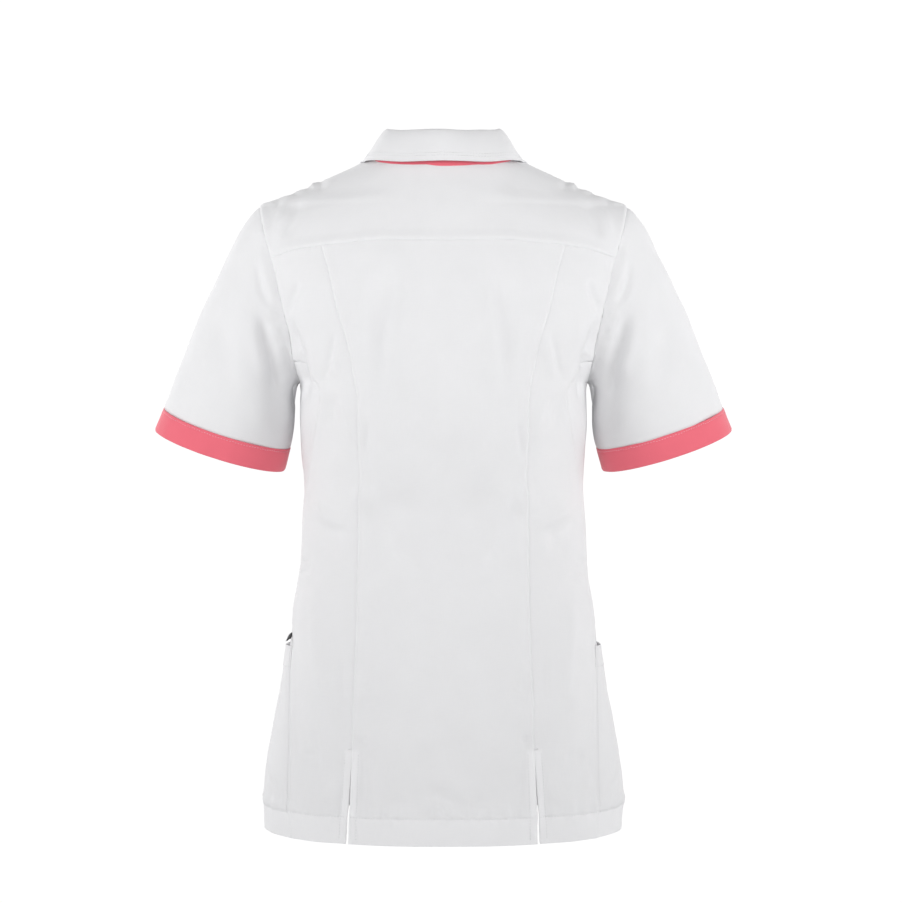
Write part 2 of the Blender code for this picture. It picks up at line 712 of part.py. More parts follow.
def sleeve_surface(around, along):
    """Points of the left sleeve, from along 0 at the armhole to 1 at the band."""
    turn, height = armhole_station(around).T
    edge = body_surface(turn, height)
    normal = body_normal(turn, height)
    ahead = body_surface(*armhole_station(around + STEP).T)
    round_it = unit(ahead - edge)
    leaving = np.cross(round_it, normal)
    leaving *= np.sign(leaving[:, :1] + 1e-3)
    top = (0.5 + 0.5 * np.cos(around))[:, None]
    outward = unit(np.array([1.0, 0.0, UNDERARM_LIFT]))
    start = unit(leaving * top + outward * (1 - top))
    bend = np.linalg.norm(np.cross(start, leaving), axis=-1)[:, None]
    first = edge + start * (SEAM_GAP / 2 + (CLOTH + 2 * SEAM_GAP) / 2 * bend)
    last = sleeve_ring(around, CUFF_WIDTH)
    down = sleeve_end_frame()[2]
    leaves = start * (SLEEVE_LEAVES[0] * top + SLEEVE_LEAVES[1] * (1 - top))
    arrives = down * (SLEEVE_ARRIVES[0] * top + SLEEVE_ARRIVES[1] * (1 - top))
    t = along[None, :, None]
    first, last, leaves, arrives = (item[:, None] for item in (first, last, leaves, arrives))
    return (
        (1 + 2 * t) * (1 - t) ** 2 * first
        + t * (1 - t) ** 2 * leaves
        + t * t * (3 - 2 * t) * last
        + t * t * (t - 1) * arrives
    )


def sleeve(side, sign):
    around = armhole_loop()
    along = stations(0, 1, SLEEVE_ROWS) ** SLEEVE_CROWD
    points = sleeve_surface(around, along)
    points[:, -1] = sleeve_ring(around, CUFF_WIDTH + SEAM_GAP / 2)
    mirror = np.array([sign, 1, 1])
    grid_cloth("sleeve_" + side, points * mirror, white, closed=True)
    above = stations(CUFF_WIDTH - SEAM_GAP / 2, 0, CUFF_ROWS)
    band = np.stack([sleeve_ring(around, a) for a in above], axis=1)
    grid_cloth("cuff_" + side, band * mirror, raspberry, CUFF_CLOTH, closed=True)


# ---------------------------------------------------------------- the collar


def neckline(station):
    """(turn, height) at a station: 0 at the centre of the back, 1 at the shoulder, 2 at the collar's end."""
    station = np.asarray(station, float)
    behind = (1 - station) * math.pi / 2
    before = (1 - station) * math.radians(COLLAR_END)
    turn = np.where(station <= 1, behind, before)
    return turn, neckline_height(turn)


def collar_frame(station):
    """Points of the neckline, and the ways out from it and up from it."""
    turn, height = neckline(station)
    base = body_surface(turn, height)
    along = unit(body_surface(*neckline(station + STEP)) - body_surface(*neckline(station - STEP)))
    normal = body_normal(turn, height)
    out = unit(normal * np.array([1.0, 1.0, 0.0]))
    upright = np.broadcast_to(np.array([0.0, 0.0, 1.0]), out.shape)
    off_cloth = unit(np.cross(along, normal))
    off_cloth *= np.sign(off_cloth[:, 2:])
    follow = np.stack([smooth_curve(COLLAR_SHAPE, 0, 6)(station)] * 3, axis=-1)
    up = unit(upright * (1 - follow) + off_cloth * follow)
    out = unit(out * (1 - follow) + normal * follow)
    return base, out, up


def clear_of_body(points, clearance):
    """Points moved off the body's surface until they stand this far outside it."""
    points = points.copy()
    for _ in range(4):
        turn = np.arctan2(points[..., 1], points[..., 0])
        height = points[..., 2]
        surface = body_surface(turn, height)
        normal = body_normal(turn, height)
        beyond = np.linalg.norm(points[..., :2], axis=-1) - np.linalg.norm(surface[..., :2], axis=-1)
        radial = np.stack([np.cos(turn), np.sin(turn), np.zeros_like(turn)], axis=-1)
        short = clearance - beyond * (normal * radial).sum(-1)
        beside = height < BODY[0][0]
        points += normal * (np.maximum(short, 0) * beside)[..., None]
    return points


def stand_points(station):
    height, out_by = (smooth_curve(COLLAR_SHAPE, 0, i)(station) for i in (1, 2))
    base, out, up = collar_frame(station)
    rise = stations(0, 1, STAND_ROWS)[None, :, None]
    foot = SEAM_GAP + COLLAR_CLOTH / 2
    lift = foot + (height[:, None, None] - foot) * rise
    lean = out_by[:, None, None] * rise**STAND_LEAN
    return base[:, None] + up[:, None] * lift + out[:, None] * lean


def leaf_points(station):
    height, out_by, leaf_out, leaf_up, roll = (
        smooth_curve(COLLAR_SHAPE, 0, i)(station)[:, None, None] for i in (1, 2, 3, 4, 5)
    )
    base, out, up = (item[:, None] for item in collar_frame(station))
    lean = STAND_LEAN * out_by / height
    (inner_out, inner_up), (outer_out, outer_up) = LEAF_FOLD
    corners = (
        (out_by + lean * LEAF_START, height + LEAF_START),
        (out_by + lean * roll * inner_out, height + roll * inner_up),
        (out_by + roll * outer_out, height + roll * outer_up),
        (leaf_out, leaf_up),
    )
    t = (stations(0, 1, LEAF_ROWS) ** LEAF_CROWD)[None, :, None]
    weights = ((1 - t) ** 3, 3 * t * (1 - t) ** 2, 3 * t * t * (1 - t), t**3)
    off = sum(weight * corner[0] for weight, corner in zip(weights, corners))
    rise = sum(weight * corner[1] for weight, corner in zip(weights, corners))
    return base + out * off + up * rise


def whole_collar(half):
    """Both halves of a collar grid, from the left front end round the back to the right."""
    right = half[1:] * np.array([-1, 1, 1])
    return np.concatenate([half[::-1], right])


def collar():
    station = stations(0, 2, COLLAR_COLUMNS_HALF)
    points = whole_collar(stand_points(station))
    grid_cloth("collar_stand", points, raspberry, COLLAR_CLOTH)
    half = leaf_points(station)
    half[:, LEAF_LOW:] = clear_of_body(half[:, LEAF_LOW:], (CLOTH + COLLAR_CLOTH) / 2 + COLLAR_CLEAR)
    points = whole_collar(half)
    grid_cloth("collar_leaf", points, white, COLLAR_CLOTH)


# ---------------------------------------------------------------- buttons, pockets and the tab


def button(number, turn, height):
    """A turned button, with its back to the cloth and a hollow in its face."""
    profile = (
        (0.0, BUTTON_THICK - BUTTON_DISH),
        (BUTTON_RADIUS * BUTTON_RIM[1], BUTTON_THICK - BUTTON_DISH),
        (BUTTON_RADIUS * BUTTON_RIM[0], BUTTON_THICK),
        (BUTTON_RADIUS - BUTTON_EDGE, BUTTON_THICK),
        (BUTTON_RADIUS, BUTTON_THICK - BUTTON_EDGE),
        (BUTTON_RADIUS, BUTTON_EDGE),
        (BUTTON_RADIUS - BUTTON_EDGE, 0.0),
        (0.0, 0.0),
    )
    mesh = bmesh.new()
    line = [mesh.verts.new((radius, 0.0, rise)) for radius, rise in profile]
    for above, below in zip(line[:-1], line[1:]):
        mesh.edges.new((above, below))
    piece = finish(f"button_{number}", mesh, plastic)
    turned = piece.modifiers.new("turned", "SCREW")
    turned.steps = turned.render_steps = BUTTON_SIDES
    turned.use_merge_vertices = True
    turned.merge_threshold = 1e-5
    normal = body_normal(turn, height)
    piece.location = body_surface(turn, height) + normal * (LAYER / 2 + CLOTH / 2 + BUTTON_REST)
    piece.rotation_euler = Vector(normal).to_track_quat("Z", "Y").to_euler()


def pocket(side, grid, first, last, lift):
    """A patch pocket that covers a block of a front's own stations."""
    rows = slice(POCKET_ROWS[0], POCKET_ROWS[1] + 1)
    block = grid[first : last + 1, rows]
    points = body_surface(block[..., 0], block[..., 1])
    normals = body_normal(block[..., 0], block[..., 1])
    across = np.sin(np.linspace(0, math.pi, len(block)))[:, None]
    up = np.linspace(0, 1, block.shape[1])[None] ** POCKET_RISE
    stand_off = LAYER + POCKET_POUCH * across * up + lift(points)
    points = points + normals * stand_off[..., None]
    grid_cloth("pocket_" + side, points, white)


def tab():
    """The small tab that sticks out at the left side seam, level with the pocket's mouth."""
    height = TAB["height"]
    turn = turn_at(side_seam_out(height), height)
    normal = body_normal(turn, height)
    forward = unit(np.cross(normal, np.array([0.0, 0.0, 1.0])))
    outward = unit(forward * (1 - TAB["lean"]) + normal * TAB["lean"])
    root = body_surface(turn, height) + normal * (LAYER * 1.5)
    reach = np.stack([root + outward * d for d in stations(0, TAB["long"], 2)])
    points = reach[:, None] + np.array([0, 0, 1.0]) * stations(-0.5, 0.5, 2)[None, :, None] * TAB["wide"]
    grid_cloth("pocket_tab_left", points, black, TAB["thick"])


def clear_scene():
    for old in list(bpy.data.objects):
        bpy.data.objects.remove(old)


def cloth_material(name, colour, roughness):
    material = bpy.data.materials.new(name)
    material.use_nodes = True
    shader = material.node_tree.nodes["Principled BSDF"]
    shader.inputs["Base Color"].default_value = (*colour, 1)
    shader.inputs["Roughness"].default_value = roughness
    shader.inputs["Metallic"].default_value = 0.0
    return material


clear_scene()
garment = bpy.data.collections.new("medical_tunic")
bpy.context.scene.collection.children.link(garment)
white = cloth_material("white_cloth", WHITE, 0.85)
raspberry = cloth_material("raspberry_cloth", RASPBERRY, 0.80)
black = cloth_material("tab_black", BLACK, 0.70)
plastic = cloth_material("button_plastic", WHITE, 0.30)

panel("back_centre", [back_centre_grid()], white)
side_grid = back_side_grid()
panel("back_side_left", [side_grid], white)
panel("back_side_right", [flipped(side_grid)], white)
half_yoke = yoke_grid()
whole_yoke = np.concatenate([flipped(half_yoke)[:-1], half_yoke])
panel("back_yoke", [whole_yoke], white)
left_front = front_grids()
right_front = [flipped(grid) for grid in left_front]
panel("front_left", left_front, white, front_lift(-1))
panel("front_right", right_front, white, front_lift(1))
for side, sign in (("left", 1), ("right", -1)):
    sleeve(side, sign)
collar()
first, last = POCKET_COLUMNS
pocket("left", left_front[0], first, last, front_lift(-1))
final = len(right_front[0]) - 1
pocket("right", right_front[0], final - last, final - first, front_lift(1))
tab()
for number, row in enumerate(BUTTON_ROWS, 1):
    button(number, *left_front[0][1, row])
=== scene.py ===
"""A short-sleeved women's medical tunic: white cloth with raspberry bands, filled out as when worn.

Metres, +Z up. The wearer faces -Y and the wearer's left is +X. The body's cloth follows one
surface, body_surface(turn, height), with turn 0 at the wearer's left side, pi / 2 at the centre
of the back and -pi / 2 at the centre of the front. Each piece is a fine sheet on that surface,
with its creases, seams and hems worked into it, and its stitches laid along it.
"""

import math

import bmesh
import bpy
import numpy as np
from mathutils import Matrix, Vector
from mathutils.bvhtree import BVHTree
from mathutils.kdtree import KDTree


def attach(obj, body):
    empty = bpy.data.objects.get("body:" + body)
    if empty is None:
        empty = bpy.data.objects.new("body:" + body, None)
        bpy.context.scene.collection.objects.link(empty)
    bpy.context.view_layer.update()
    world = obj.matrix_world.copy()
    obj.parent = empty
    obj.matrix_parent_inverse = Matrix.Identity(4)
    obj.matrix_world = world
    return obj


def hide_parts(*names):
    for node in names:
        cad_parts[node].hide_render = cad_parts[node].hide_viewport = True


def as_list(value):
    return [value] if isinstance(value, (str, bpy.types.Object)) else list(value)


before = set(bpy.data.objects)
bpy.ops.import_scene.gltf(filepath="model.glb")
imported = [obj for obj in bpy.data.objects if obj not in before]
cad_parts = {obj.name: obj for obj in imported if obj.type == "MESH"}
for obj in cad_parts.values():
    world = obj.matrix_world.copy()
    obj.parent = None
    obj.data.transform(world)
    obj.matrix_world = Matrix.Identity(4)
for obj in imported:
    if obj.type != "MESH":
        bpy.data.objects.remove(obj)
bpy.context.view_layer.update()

# ---------------------------------------------------------------- sizes shared with the solids

SEAM_GAP = 0.0003
CLOTH = 0.0016
LAYER = 0.0019
STEP = 1e-3  # over which directions are taken

HEM = -0.6935
ARM_LEVEL = -0.240
UNDERARM = -0.228
SHOULDER_TIP = -0.0447
SLIT_TOP = -0.5989
SLIT_OPEN = 0.0030
SIDE_SEAM_TOP = -0.206
WRAP = 0.015
WRAP_FADE = 0.030
V_BOTTOM = -0.112
NECK_FOOT = -0.124

# Sections of the body. Depths are from the vertical axis to the middle of the back or front,
# and the squareness is a superellipse's exponent. The half widths between the underarm and
# the shoulder tip follow from the armhole, below.
# Columns: height, half width, back depth, front depth, back square, front square.
BODY = (
    (0.0220, 0.0560, 0.0500, 0.0460, 2.00, 2.00),
    (0.0120, 0.0670, 0.0570, 0.0530, 2.00, 2.00),
    (0.0000, 0.0895, 0.0635, 0.0600, 1.90, 1.85),
    (-0.0150, 0.1240, 0.0700, 0.0670, 1.72, 1.70),
    (-0.0300, 0.1590, 0.0760, 0.0735, 1.62, 1.62),
    (SHOULDER_TIP, 0.1920, 0.0815, 0.0800, 1.60, 1.62),
    (-0.0800, 0.1920, 0.0925, 0.0945, 1.90, 1.85),
    (-0.1300, 0.1700, 0.1040, 0.1110, 2.25, 2.15),
    (-0.1800, 0.1600, 0.1105, 0.1250, 2.35, 2.30),
    (UNDERARM, 0.1490, 0.1125, 0.1340, 2.40, 2.40),
    (-0.2670, 0.1500, 0.1100, 0.1355, 2.40, 2.40),
    (-0.3090, 0.1474, 0.1040, 0.1290, 2.35, 2.35),
    (-0.3350, 0.1462, 0.1000, 0.1235, 2.30, 2.30),
    (-0.3720, 0.1482, 0.0965, 0.1190, 2.30, 2.30),
    (-0.4140, 0.1502, 0.0975, 0.1180, 2.30, 2.30),
    (-0.4350, 0.1522, 0.1005, 0.1190, 2.30, 2.30),
    (-0.4600, 0.1568, 0.1060, 0.1220, 2.30, 2.30),
    (-0.4980, 0.1600, 0.1140, 0.1265, 2.30, 2.30),
    (-0.5405, 0.1672, 0.1235, 0.1320, 2.30, 2.25),
    (-0.5826, 0.1752, 0.1310, 0.1365, 2.30, 2.25),
    (-0.6250, 0.1832, 0.1360, 0.1400, 2.25, 2.20),
    (-0.6560, 0.1868, 0.1390, 0.1430, 2.25, 2.20),
    (HEM - 0.0100, 0.1880, 0.1415, 0.1460, 2.25, 2.20),
)

# The back edge of the armhole, from the shoulder tip to the underarm.
# Columns: height, from centre.
ARMHOLE = (
    (SHOULDER_TIP, 0.1920),
    (-0.0600, 0.1885),
    (-0.0884, 0.1808),
    (-0.1094, 0.1747),
    (-0.1378, 0.1685),
    (-0.1634, 0.1628),
    (-0.1839, 0.1580),
    (-0.2053, 0.1545),
    (UNDERARM, 0.1490),
)
ARMHOLE_BACK = 0.0560  # how far the armhole reaches behind the shoulder line
ARMHOLE_FRONT = 0.0640  # and before it

# Seams of the back, as distances from the centre of the back.
# Columns: height, from centre.
PRINCESS = (
    (-0.0800, 0.1262),
    (-0.0886, 0.1245),
    (-0.1137, 0.1171),
    (-0.1546, 0.1077),
    (-0.1852, 0.0984),
    (-0.2182, 0.0918),
    (-0.2461, 0.0877),
    (-0.2816, 0.0868),
    (-0.3300, 0.0850),
    (-0.3736, 0.0868),
    (-0.4245, 0.0872),
    (-0.4747, 0.0879),
    (-0.5244, 0.0896),
    (-0.5591, 0.0914),
    (SLIT_TOP, 0.0927),
    (-0.6487, 0.0946),
    (HEM - 0.0100, 0.0961),
)
# Columns: height, from centre.
SIDE_SEAM = (
    (SIDE_SEAM_TOP, 0.1500),
    (-0.2200, 0.1360),
    (-0.2378, 0.1270),
    (-0.2562, 0.1290),
    (-0.2872, 0.1344),
    (-0.3132, 0.1387),
    (-0.3359, 0.1415),
    (-0.3800, 0.1445),
    (-0.4300, 0.1490),
    (-0.4832, 0.1570),
    (-0.5086, 0.1568),
    (-0.5550, 0.1560),
    (-0.6100, 0.1555),
    (HEM - 0.0100, 0.1567),
)
# Columns: from centre, height.
YOKE_SEAM = (
    (0.0000, -0.0842),
    (0.0595, -0.0832),
    (0.0953, -0.0856),
    (0.1262, -0.0886),
    (0.1471, -0.0912),
    (0.1800, -0.1010),
)

# The neckline over the shoulders, and down the front to the first button.
YOKE_SPLIT = 0.1245  # where the princess seams meet the yoke, from the centre
NAPE = -0.0052  # height of the neckline at the centre of the back
NECK_SIDE = 0.0080  # and on the shoulder line
NECK_RISE = 5.5  # the power with which it rises between them
# Columns: degrees before the shoulder, height.
FRONT_NECK = (
    (0.0, NECK_SIDE),
    (14.0, 0.0062),
    (31.0, -0.0015),
    (49.0, -0.0200),
    (65.4, -0.0500),
    (81.0, -0.0850),
    (92.2, V_BOTTOM),
)
FRONT_YOKE_NECK = 40.0  # where the front yoke seam meets the neckline, in the same degrees
FRONT_YOKE_ARM = -0.0720  # and at the armhole
ARM_FOOT = -0.1850  # height at which the armhole's foot turns up its front

# Soft folds of the body, as ridges (height above the cloth, positive) or troughs (negative).
# A fold's line starts at (from_centre, top) and runs down to bottom, leaning sideways by lean.
# Columns: side, from centre, top, bottom, lean, half width, rise.
FOLDS = (
    ("back", 0.0620, -0.100, -0.300, 0.004, 0.018, -0.0022),
    ("back", 0.0360, -0.110, -0.360, -0.004, 0.020, 0.0018),
    ("back", 0.0520, -0.330, -0.430, -0.020, 0.018, -0.0026),
    ("back", 0.0400, -0.420, -0.640, 0.012, 0.024, 0.0030),
    ("back", 0.0000, -0.400, -0.720, 0.000, 0.024, -0.0026),
    ("back", 0.1120, -0.230, -0.350, 0.008, 0.016, -0.0026),
    ("back", 0.1250, -0.440, -0.720, 0.004, 0.018, 0.0032),
    ("back", 0.1050, -0.540, -0.720, -0.002, 0.016, -0.0028),
    ("front", 0.0450, -0.280, -0.480, 0.006, 0.020, -0.0032),
    ("front", 0.1150, -0.290, -0.460, 0.010, 0.018, -0.0030),
    ("front", 0.0800, -0.430, -0.720, 0.012, 0.026, 0.0040),
    ("front", 0.1450, -0.520, -0.720, 0.010, 0.018, 0.0040),
)
BUST = {"from_centre": 0.080, "height": -0.255, "reach": 0.060, "rise": 0.013, "fade": 0.6}

# Sleeve: the ring of its lower edge, and the raspberry band that ends it.
CUFF_WIDTH = 0.0245
SLEEVE_END_OUTER = (0.3045, -0.2770)  # from_centre and height of the band's outer corner
SLEEVE_END_INNER = (0.1689, -0.3199)
SLEEVE_DOWN = (0.339, -0.941)  # the way down the arm, out and up
SLEEVE_HALF_DEPTH = 0.0590
SLEEVE_TAPER = 0.95  # loss of width up the arm, a metre
SLEEVE_FORWARD = -0.0180  # how far the lower end swings to the front
SLEEVE_BACK_DROP = 0.0085  # how far its back edge hangs below its middle
SLEEVE_LEAVES = (0.086, 0.034)  # how strongly it leaves the armhole, on top and under the arm
SLEEVE_ARRIVES = (0.185, 0.080)  # and arrives at the band
UNDERARM_LIFT = 0.10  # rise of the sleeve's first few millimetres under the arm

# Collar: a raspberry stand that rises from the neckline, and the white leaf that folds over it.
# A station is 0 at the centre of the back, 1 on the shoulder line and 2 at the collar's front end.
# Offsets are from the neckline: out from the body, and up (along the cloth, at the front).
COLLAR_END = 78.0  # degrees before the shoulder at which the collar ends
COLLAR_CLOTH = 0.0018
STAND_LEAN = 1.5  # the power of its height with which the stand leans
LEAF_START = 0.0015  # from the top of the stand to the edge of the leaf, before its fold
LEAF_FOLD = ((1.0, 1.2), (2.2, 1.7))  # the fold's guide points, out and up, in its rolls
# Columns: station, stand height, stand out, leaf out, leaf up, roll, follow.
COLLAR_SHAPE = (
    (0.00, 0.0330, -0.0060, 0.0095, 0.0036, 0.0040, 0.00),
    (0.35, 0.0333, -0.0103, 0.0091, 0.0026, 0.0038, 0.00),
    (0.55, 0.0325, -0.0130, 0.0090, 0.0021, 0.0036, 0.00),
    (1.00, 0.0240, -0.0205, 0.0120, -0.0095, 0.0030, 0.00),
    (1.40, 0.0165, -0.0090, 0.0180, -0.0200, 0.0030, 0.50),
    (1.75, 0.0080, 0.0000, 0.0070, -0.0420, 0.0032, 1.00),
    (2.00, 0.0045, 0.0005, 0.0045, -0.0560, 0.0034, 1.00),
)

POCKET_COLUMNS = (4, 14)
POCKET_ROWS = (1, 8)
POCKET_POUCH = 0.0030
POCKET_RISE = 3
BUTTON_ROWS = (22, 18, 14, 10, 6)
TAB = {
    **{"height": -0.4918, "long": 0.0062, "wide": 0.0102, "thick": 0.0012},
    **{"lean": 0.45, "droop": 0.45, "turned": 0.55},
}
BUTTON_RADIUS = 0.0075
BUTTON_THICK = 0.0026
BUTTON_PROFILE = (  # radius and height, as shares of the two above
    *((0.0, 0.0), (0.90, 0.0), (0.98, 0.25), (1.0, 0.55), (0.97, 0.86), (0.90, 1.0)),
    *((0.80, 0.97), (0.70, 0.80), (0.64, 0.70), (0.45, 0.66), (0.0, 0.66)),
)
HOLE_OFF = 0.00135  # from the button's centre to each hole, across and up
HOLE_RADIUS = 0.00062

# The solids' stations, each of which is divided this finely here.
FINE = 6
CENTRE_COLUMNS = 12
SIDE_COLUMNS = 5
FRONT_COLUMNS = 12
LOWER_ROWS = 19
CORNER_ROWS = 4
UPPER_ROWS = 5
YOKE_ARM_ROWS = 5
FRONT_ARM_ROWS = 6
FRONT_BLEND = 3
ARM_FOOT_COLUMNS = 5
YOKE_ROWS = 7
YOKE_CROWD = 1.5
SLEEVE_ROWS = 9
SLEEVE_CROWD = 1.25
COLLAR_COLUMNS_HALF = 18
STAND_ROWS = 3
LEAF_ROWS = 8
LEAF_CROWD = 1.5
LEAF_LOW = 4

# ---------------------------------------------------------------- creases, seams and hems

# Creases of the body, as soft lines that rise from the cloth or sink into it. Each row is its half
# width and rise, then from_centre and height of two to four points, in millimetres. Those of the
# first two tables are on both sides.
BACK_CREASES = (
    (10, -3, 49, -95, 56, -146, 63, -196, 67, -262),
    (9, 2, 74, -100, 83, -145, 81, -186, 75, -225),
    (6, -1.1, 42, -225, 43, -305),
    (4, -1.9, 77, -266, 81, -308),
    (12, 2.7, 97, -340, 80, -347, 58, -347),
    (9, -1.6, 60, -363, 44, -414),
    (5, -3.2, 147, -122, 154, -142, 163, -159),
    (7.5, -6, 159, -158, 150, -190, 142, -222, 139, -254),
    (8, 2.2, 142, -160, 134, -195, 128, -238),
    (4, -2.3, 109, -170, 115, -204, 122, -230),
    (6, 1.6, 103, -176, 108, -204, 113, -226),
    (6, 1.9, 108, -238, 99, -267, 94, -294),
    (8, -2.2, 112, -238, 118, -278),
    (6, 3, 137, -348, 122, -364, 106, -371, 84, -373),
    (10, -3.6, 143, -364, 124, -382, 98, -387),
    (9, -2.2, 131, -401, 108, -391),
    (2.8, -1.5, 152, -418, 135, -411),
    (2.8, -1.5, 152, -428, 132, -419),
    (3.2, 1.2, 149, -433, 133, -426),
    (9, 2, 135, -440, 126, -512, 119, -558),
    (6, -1.8, 103, -498, 102, -558),
    (8, -3.2, 144, -607, 131, -611, 119, -609),
    (7, 2, 102, -610, 111, -641, 125, -655),
    (7, 1.5, 147, -620, 145, -648),
    (4, -2.4, 184, -626, 171, -666),
    (4, -2.2, 178, -632, 162, -666),
    (4, -2.7, 90, -594, 76, -586),
    (5, -1.8, 87, -558, 63, -545),
    (4, -1.2, 87, -541, 70, -532),
    (4, -1.4, 81, -602, 80, -657),
    (10, -3, 148, -34, 156, -59, 167, -84),
    (6, 1.8, 163, -43, 168, -62, 173, -84),
    (4, -2.2, 148, -20, 133, -30),
    (4, -2.4, 133, -14, 124, -31),
    (4, 2.2, 140, -16, 130, -25),
    (4, -1.8, 162, -28, 150, -35),
    (4, -1.5, 177, -34, 168, -46),
)
FRONT_CREASES = (
    (8, -2, 141, -232, 120, -244, 97, -262),
    (7, -1.7, 143, -262, 122, -276, 104, -292),
    (6, -2.4, 146, -118, 140, -150, 136, -182),
    (9, 1.2, 130, -110, 124, -160),
    (10, -1.6, 112, -80, 106, -125, 104, -165),
    (8, -2.6, 133, -328, 102, -345, 68, -342),
    (8, 2, 131, -350, 105, -366, 78, -372),
    (9, -2.4, 128, -372, 94, -390),
    (10, -2, 62, -300, 54, -360, 60, -432),
    (5, -0.9, 12, -262, 44, -258),
    (5, -1, 12, -360, 40, -350),
    (4, -0.8, 12, -456, 36, -462),
    (10, -1.6, 34, -440, 30, -520, 34, -610),
)
LONE_CREASES = (
    (8, -3.4, 22, -632, 4, -642, -10, -650, -26, -662),
    (6, 1.2, 20, -650, 2, -660, -12, -664),
    (6, -1.4, -30, -646, -46, -658),
    (6, -1.2, 52, -644, 36, -657),
)

# Creases of the left sleeve's cloth: half width and rise in millimetres, then degrees round the
# sleeve and how far along it for each point.
SLEEVE_CREASES = (
    (4, -2.2, 57, 0.17, 77, 0.22, 94, 0.16),
    (5, 1.3, 50, 0.08, 78, 0.12, 97, 0.08),
    (8, -7.5, 82, 0.28, 96, 0.34, 110, 0.38, 124, 0.45, 142, 0.5),
    (10, 2.2, 78, 0.33, 94, 0.41, 108, 0.47, 124, 0.56),
    (11, -2.4, 43, 0.5, 61, 0.6, 76, 0.68, 86, 0.78),
    (10, 1.3, 42, 0.31, 74, 0.48, 98, 0.74),
    (13, -4, 114, 0.42, 132, 0.62, 147, 0.93),
    (3, 0.9, 93, 0.25, 104, 0.06),
    (3, -0.9, 96, 0.28, 109, 0.09),
    (3, 0.9, 100, 0.31, 115, 0.12),
    (3, -0.8, 105, 0.34, 121, 0.16),
    (4, -1.8, -52, 0.16, -74, 0.22, -90, 0.18),
    (9, -4.6, -82, 0.27, -98, 0.34, -116, 0.43),
    (11, 1.8, -76, 0.34, -94, 0.42, -112, 0.52),
    (12, -2, -38, 0.46, -58, 0.6, -70, 0.78),
    (9, -2.2, 166, 0.16, 172, 0.58),
    (14, -1, 4, 0.2, 8, 0.62),
)

SEAM_VALLEY = {"width": 0.0010, "depth": 0.0004}
ALLOWANCE = {"width": 0.0085, "soft": 0.0030, "rise": 0.00025}
LIP = {"width": 0.0022, "soft": 0.0080, "rise": 0.0010}  # the rounded edge on a seam's high side
PUCKER = {"reach": 0.006, "rise": 0.00022, "length": 0.011}
HEM_DEPTH = 0.0270
HEM_STAND = {"rise": 0.0017, "over": 0.014, "groove": 0.0004, "width": 0.0012, "tuck": 0.0022}
HEM_PUCKER = {"reach": 0.013, "rise": 0.0007, "length": 0.020}
SLIT_BAND = 0.0075
# Wavelength and height of what the cloth does unasked.
UNEVEN = ((0.060, 0.00045), (0.026, 0.00016))
CLOTH_THICK = 0.0010
LEAF_THICK = 0.0014
CUFF_THICK = 0.0016
LEAF_CLEAR = 0.0002
LEAF_STITCHES = (0.0055, 0.0085)
POCKET_STITCH = 0.004
POCKET_HEM = 0.022
POCKET_SUNK = 0.0002  # how far a pocket's sewn edge sinks into the front
POCKET_EASE = 0.0070  # and over what width it does
CUFF_STITCH = 0.0024  # from the band's top edge to its stitches
BAND_STITCHES = (0.006, 0.027)  # from the right front's edge
HEM_INSET = 0.006  # of the hem's stitches from a panel's ends, in radians
STITCH = {"long": 0.0023, "every": 0.0031, "thick": 0.00032}
SLEEVE_HEAD = {"plain": 0.05, "follows": 0.14, "reach": 0.009, "pucker": 1.6}
SLIT_EDGE = {"top": 0.004, "rise": 0.0006, "groove": 0.0004, "soft": 0.0016, "fine": 0.0012}
# The flat cloth's measures in the weave: metres a radian of the body, a sleeve's length, and the
# width of the column that closes a ring.
BODY_ROUND = 0.14
SLEEVE_LONG = 0.21
LAST_COLUMN = 0.003
CLOSE = 0.001  # between the points of a line that distances are measured from
SINGLE = 0.94  # how bright single cloth is beside doubled cloth

def cubic(t, first, last, leaves, arrives):
    """From first to last as t goes from 0 to 1, with the given slopes at both ends."""
    return (
        (1 + 2 * t) * (1 - t) ** 2 * first
        + t * (1 - t) ** 2 * leaves
        + t * t * (3 - 2 * t) * last
        + t * t * (t - 1) * arrives
    )


def smooth_curve(rows, key=0, value=1):
    """A smooth function through a table's rows, with no overshoot between them."""
    rows = sorted(rows, key=lambda row: row[key])
    x = np.array([row[key] for row in rows], float)
    y = np.array([row[value] for row in rows], float)
    step = np.diff(x)
    slope = np.diff(y) / step
    tangent = np.zeros(len(x))
    tangent[0], tangent[-1] = slope[0], slope[-1]
    for i in range(1, len(x) - 1):
        if slope[i - 1] * slope[i] > 0:
            near, far = 2 * step[i] + step[i - 1], step[i] + 2 * step[i - 1]
            tangent[i] = (near + far) / (near / slope[i - 1] + far / slope[i])

    def curve(at):
        at = np.clip(np.asarray(at, float), x[0], x[-1])
        i = np.clip(np.searchsorted(x, at) - 1, 0, len(x) - 2)
        t = (at - x[i]) / step[i]
        return cubic(t, y[i], y[i + 1], step[i] * tangent[i], step[i] * tangent[i + 1])

    return curve


def ease(t):
    """0 to 1 with level ends."""
    t = np.clip(t, 0.0, 1.0)
    return t * t * (3 - 2 * t)


def bell(away, width):
    """1 in the middle, and nearly 0 from twice the width on."""
    return np.exp(-((away / width) ** 2))


half_width_table, back_depth, front_depth, back_square, front_square = (
    smooth_curve(BODY, 0, column) for column in range(1, 6)
)
armhole_out = smooth_curve(ARMHOLE)
princess_out = smooth_curve(PRINCESS)
side_seam_out = smooth_curve(SIDE_SEAM)
yoke_seam_height = smooth_curve(YOKE_SEAM)


# ---------------------------------------------------------------- the body's surface

# The armhole's middle height, and half of its height.
ARM_MIDDLE, ARM_HALF = (SHOULDER_TIP + UNDERARM) / 2, (SHOULDER_TIP - UNDERARM) / 2
UPRIGHT = np.array([0.0, 0.0, 1.0])


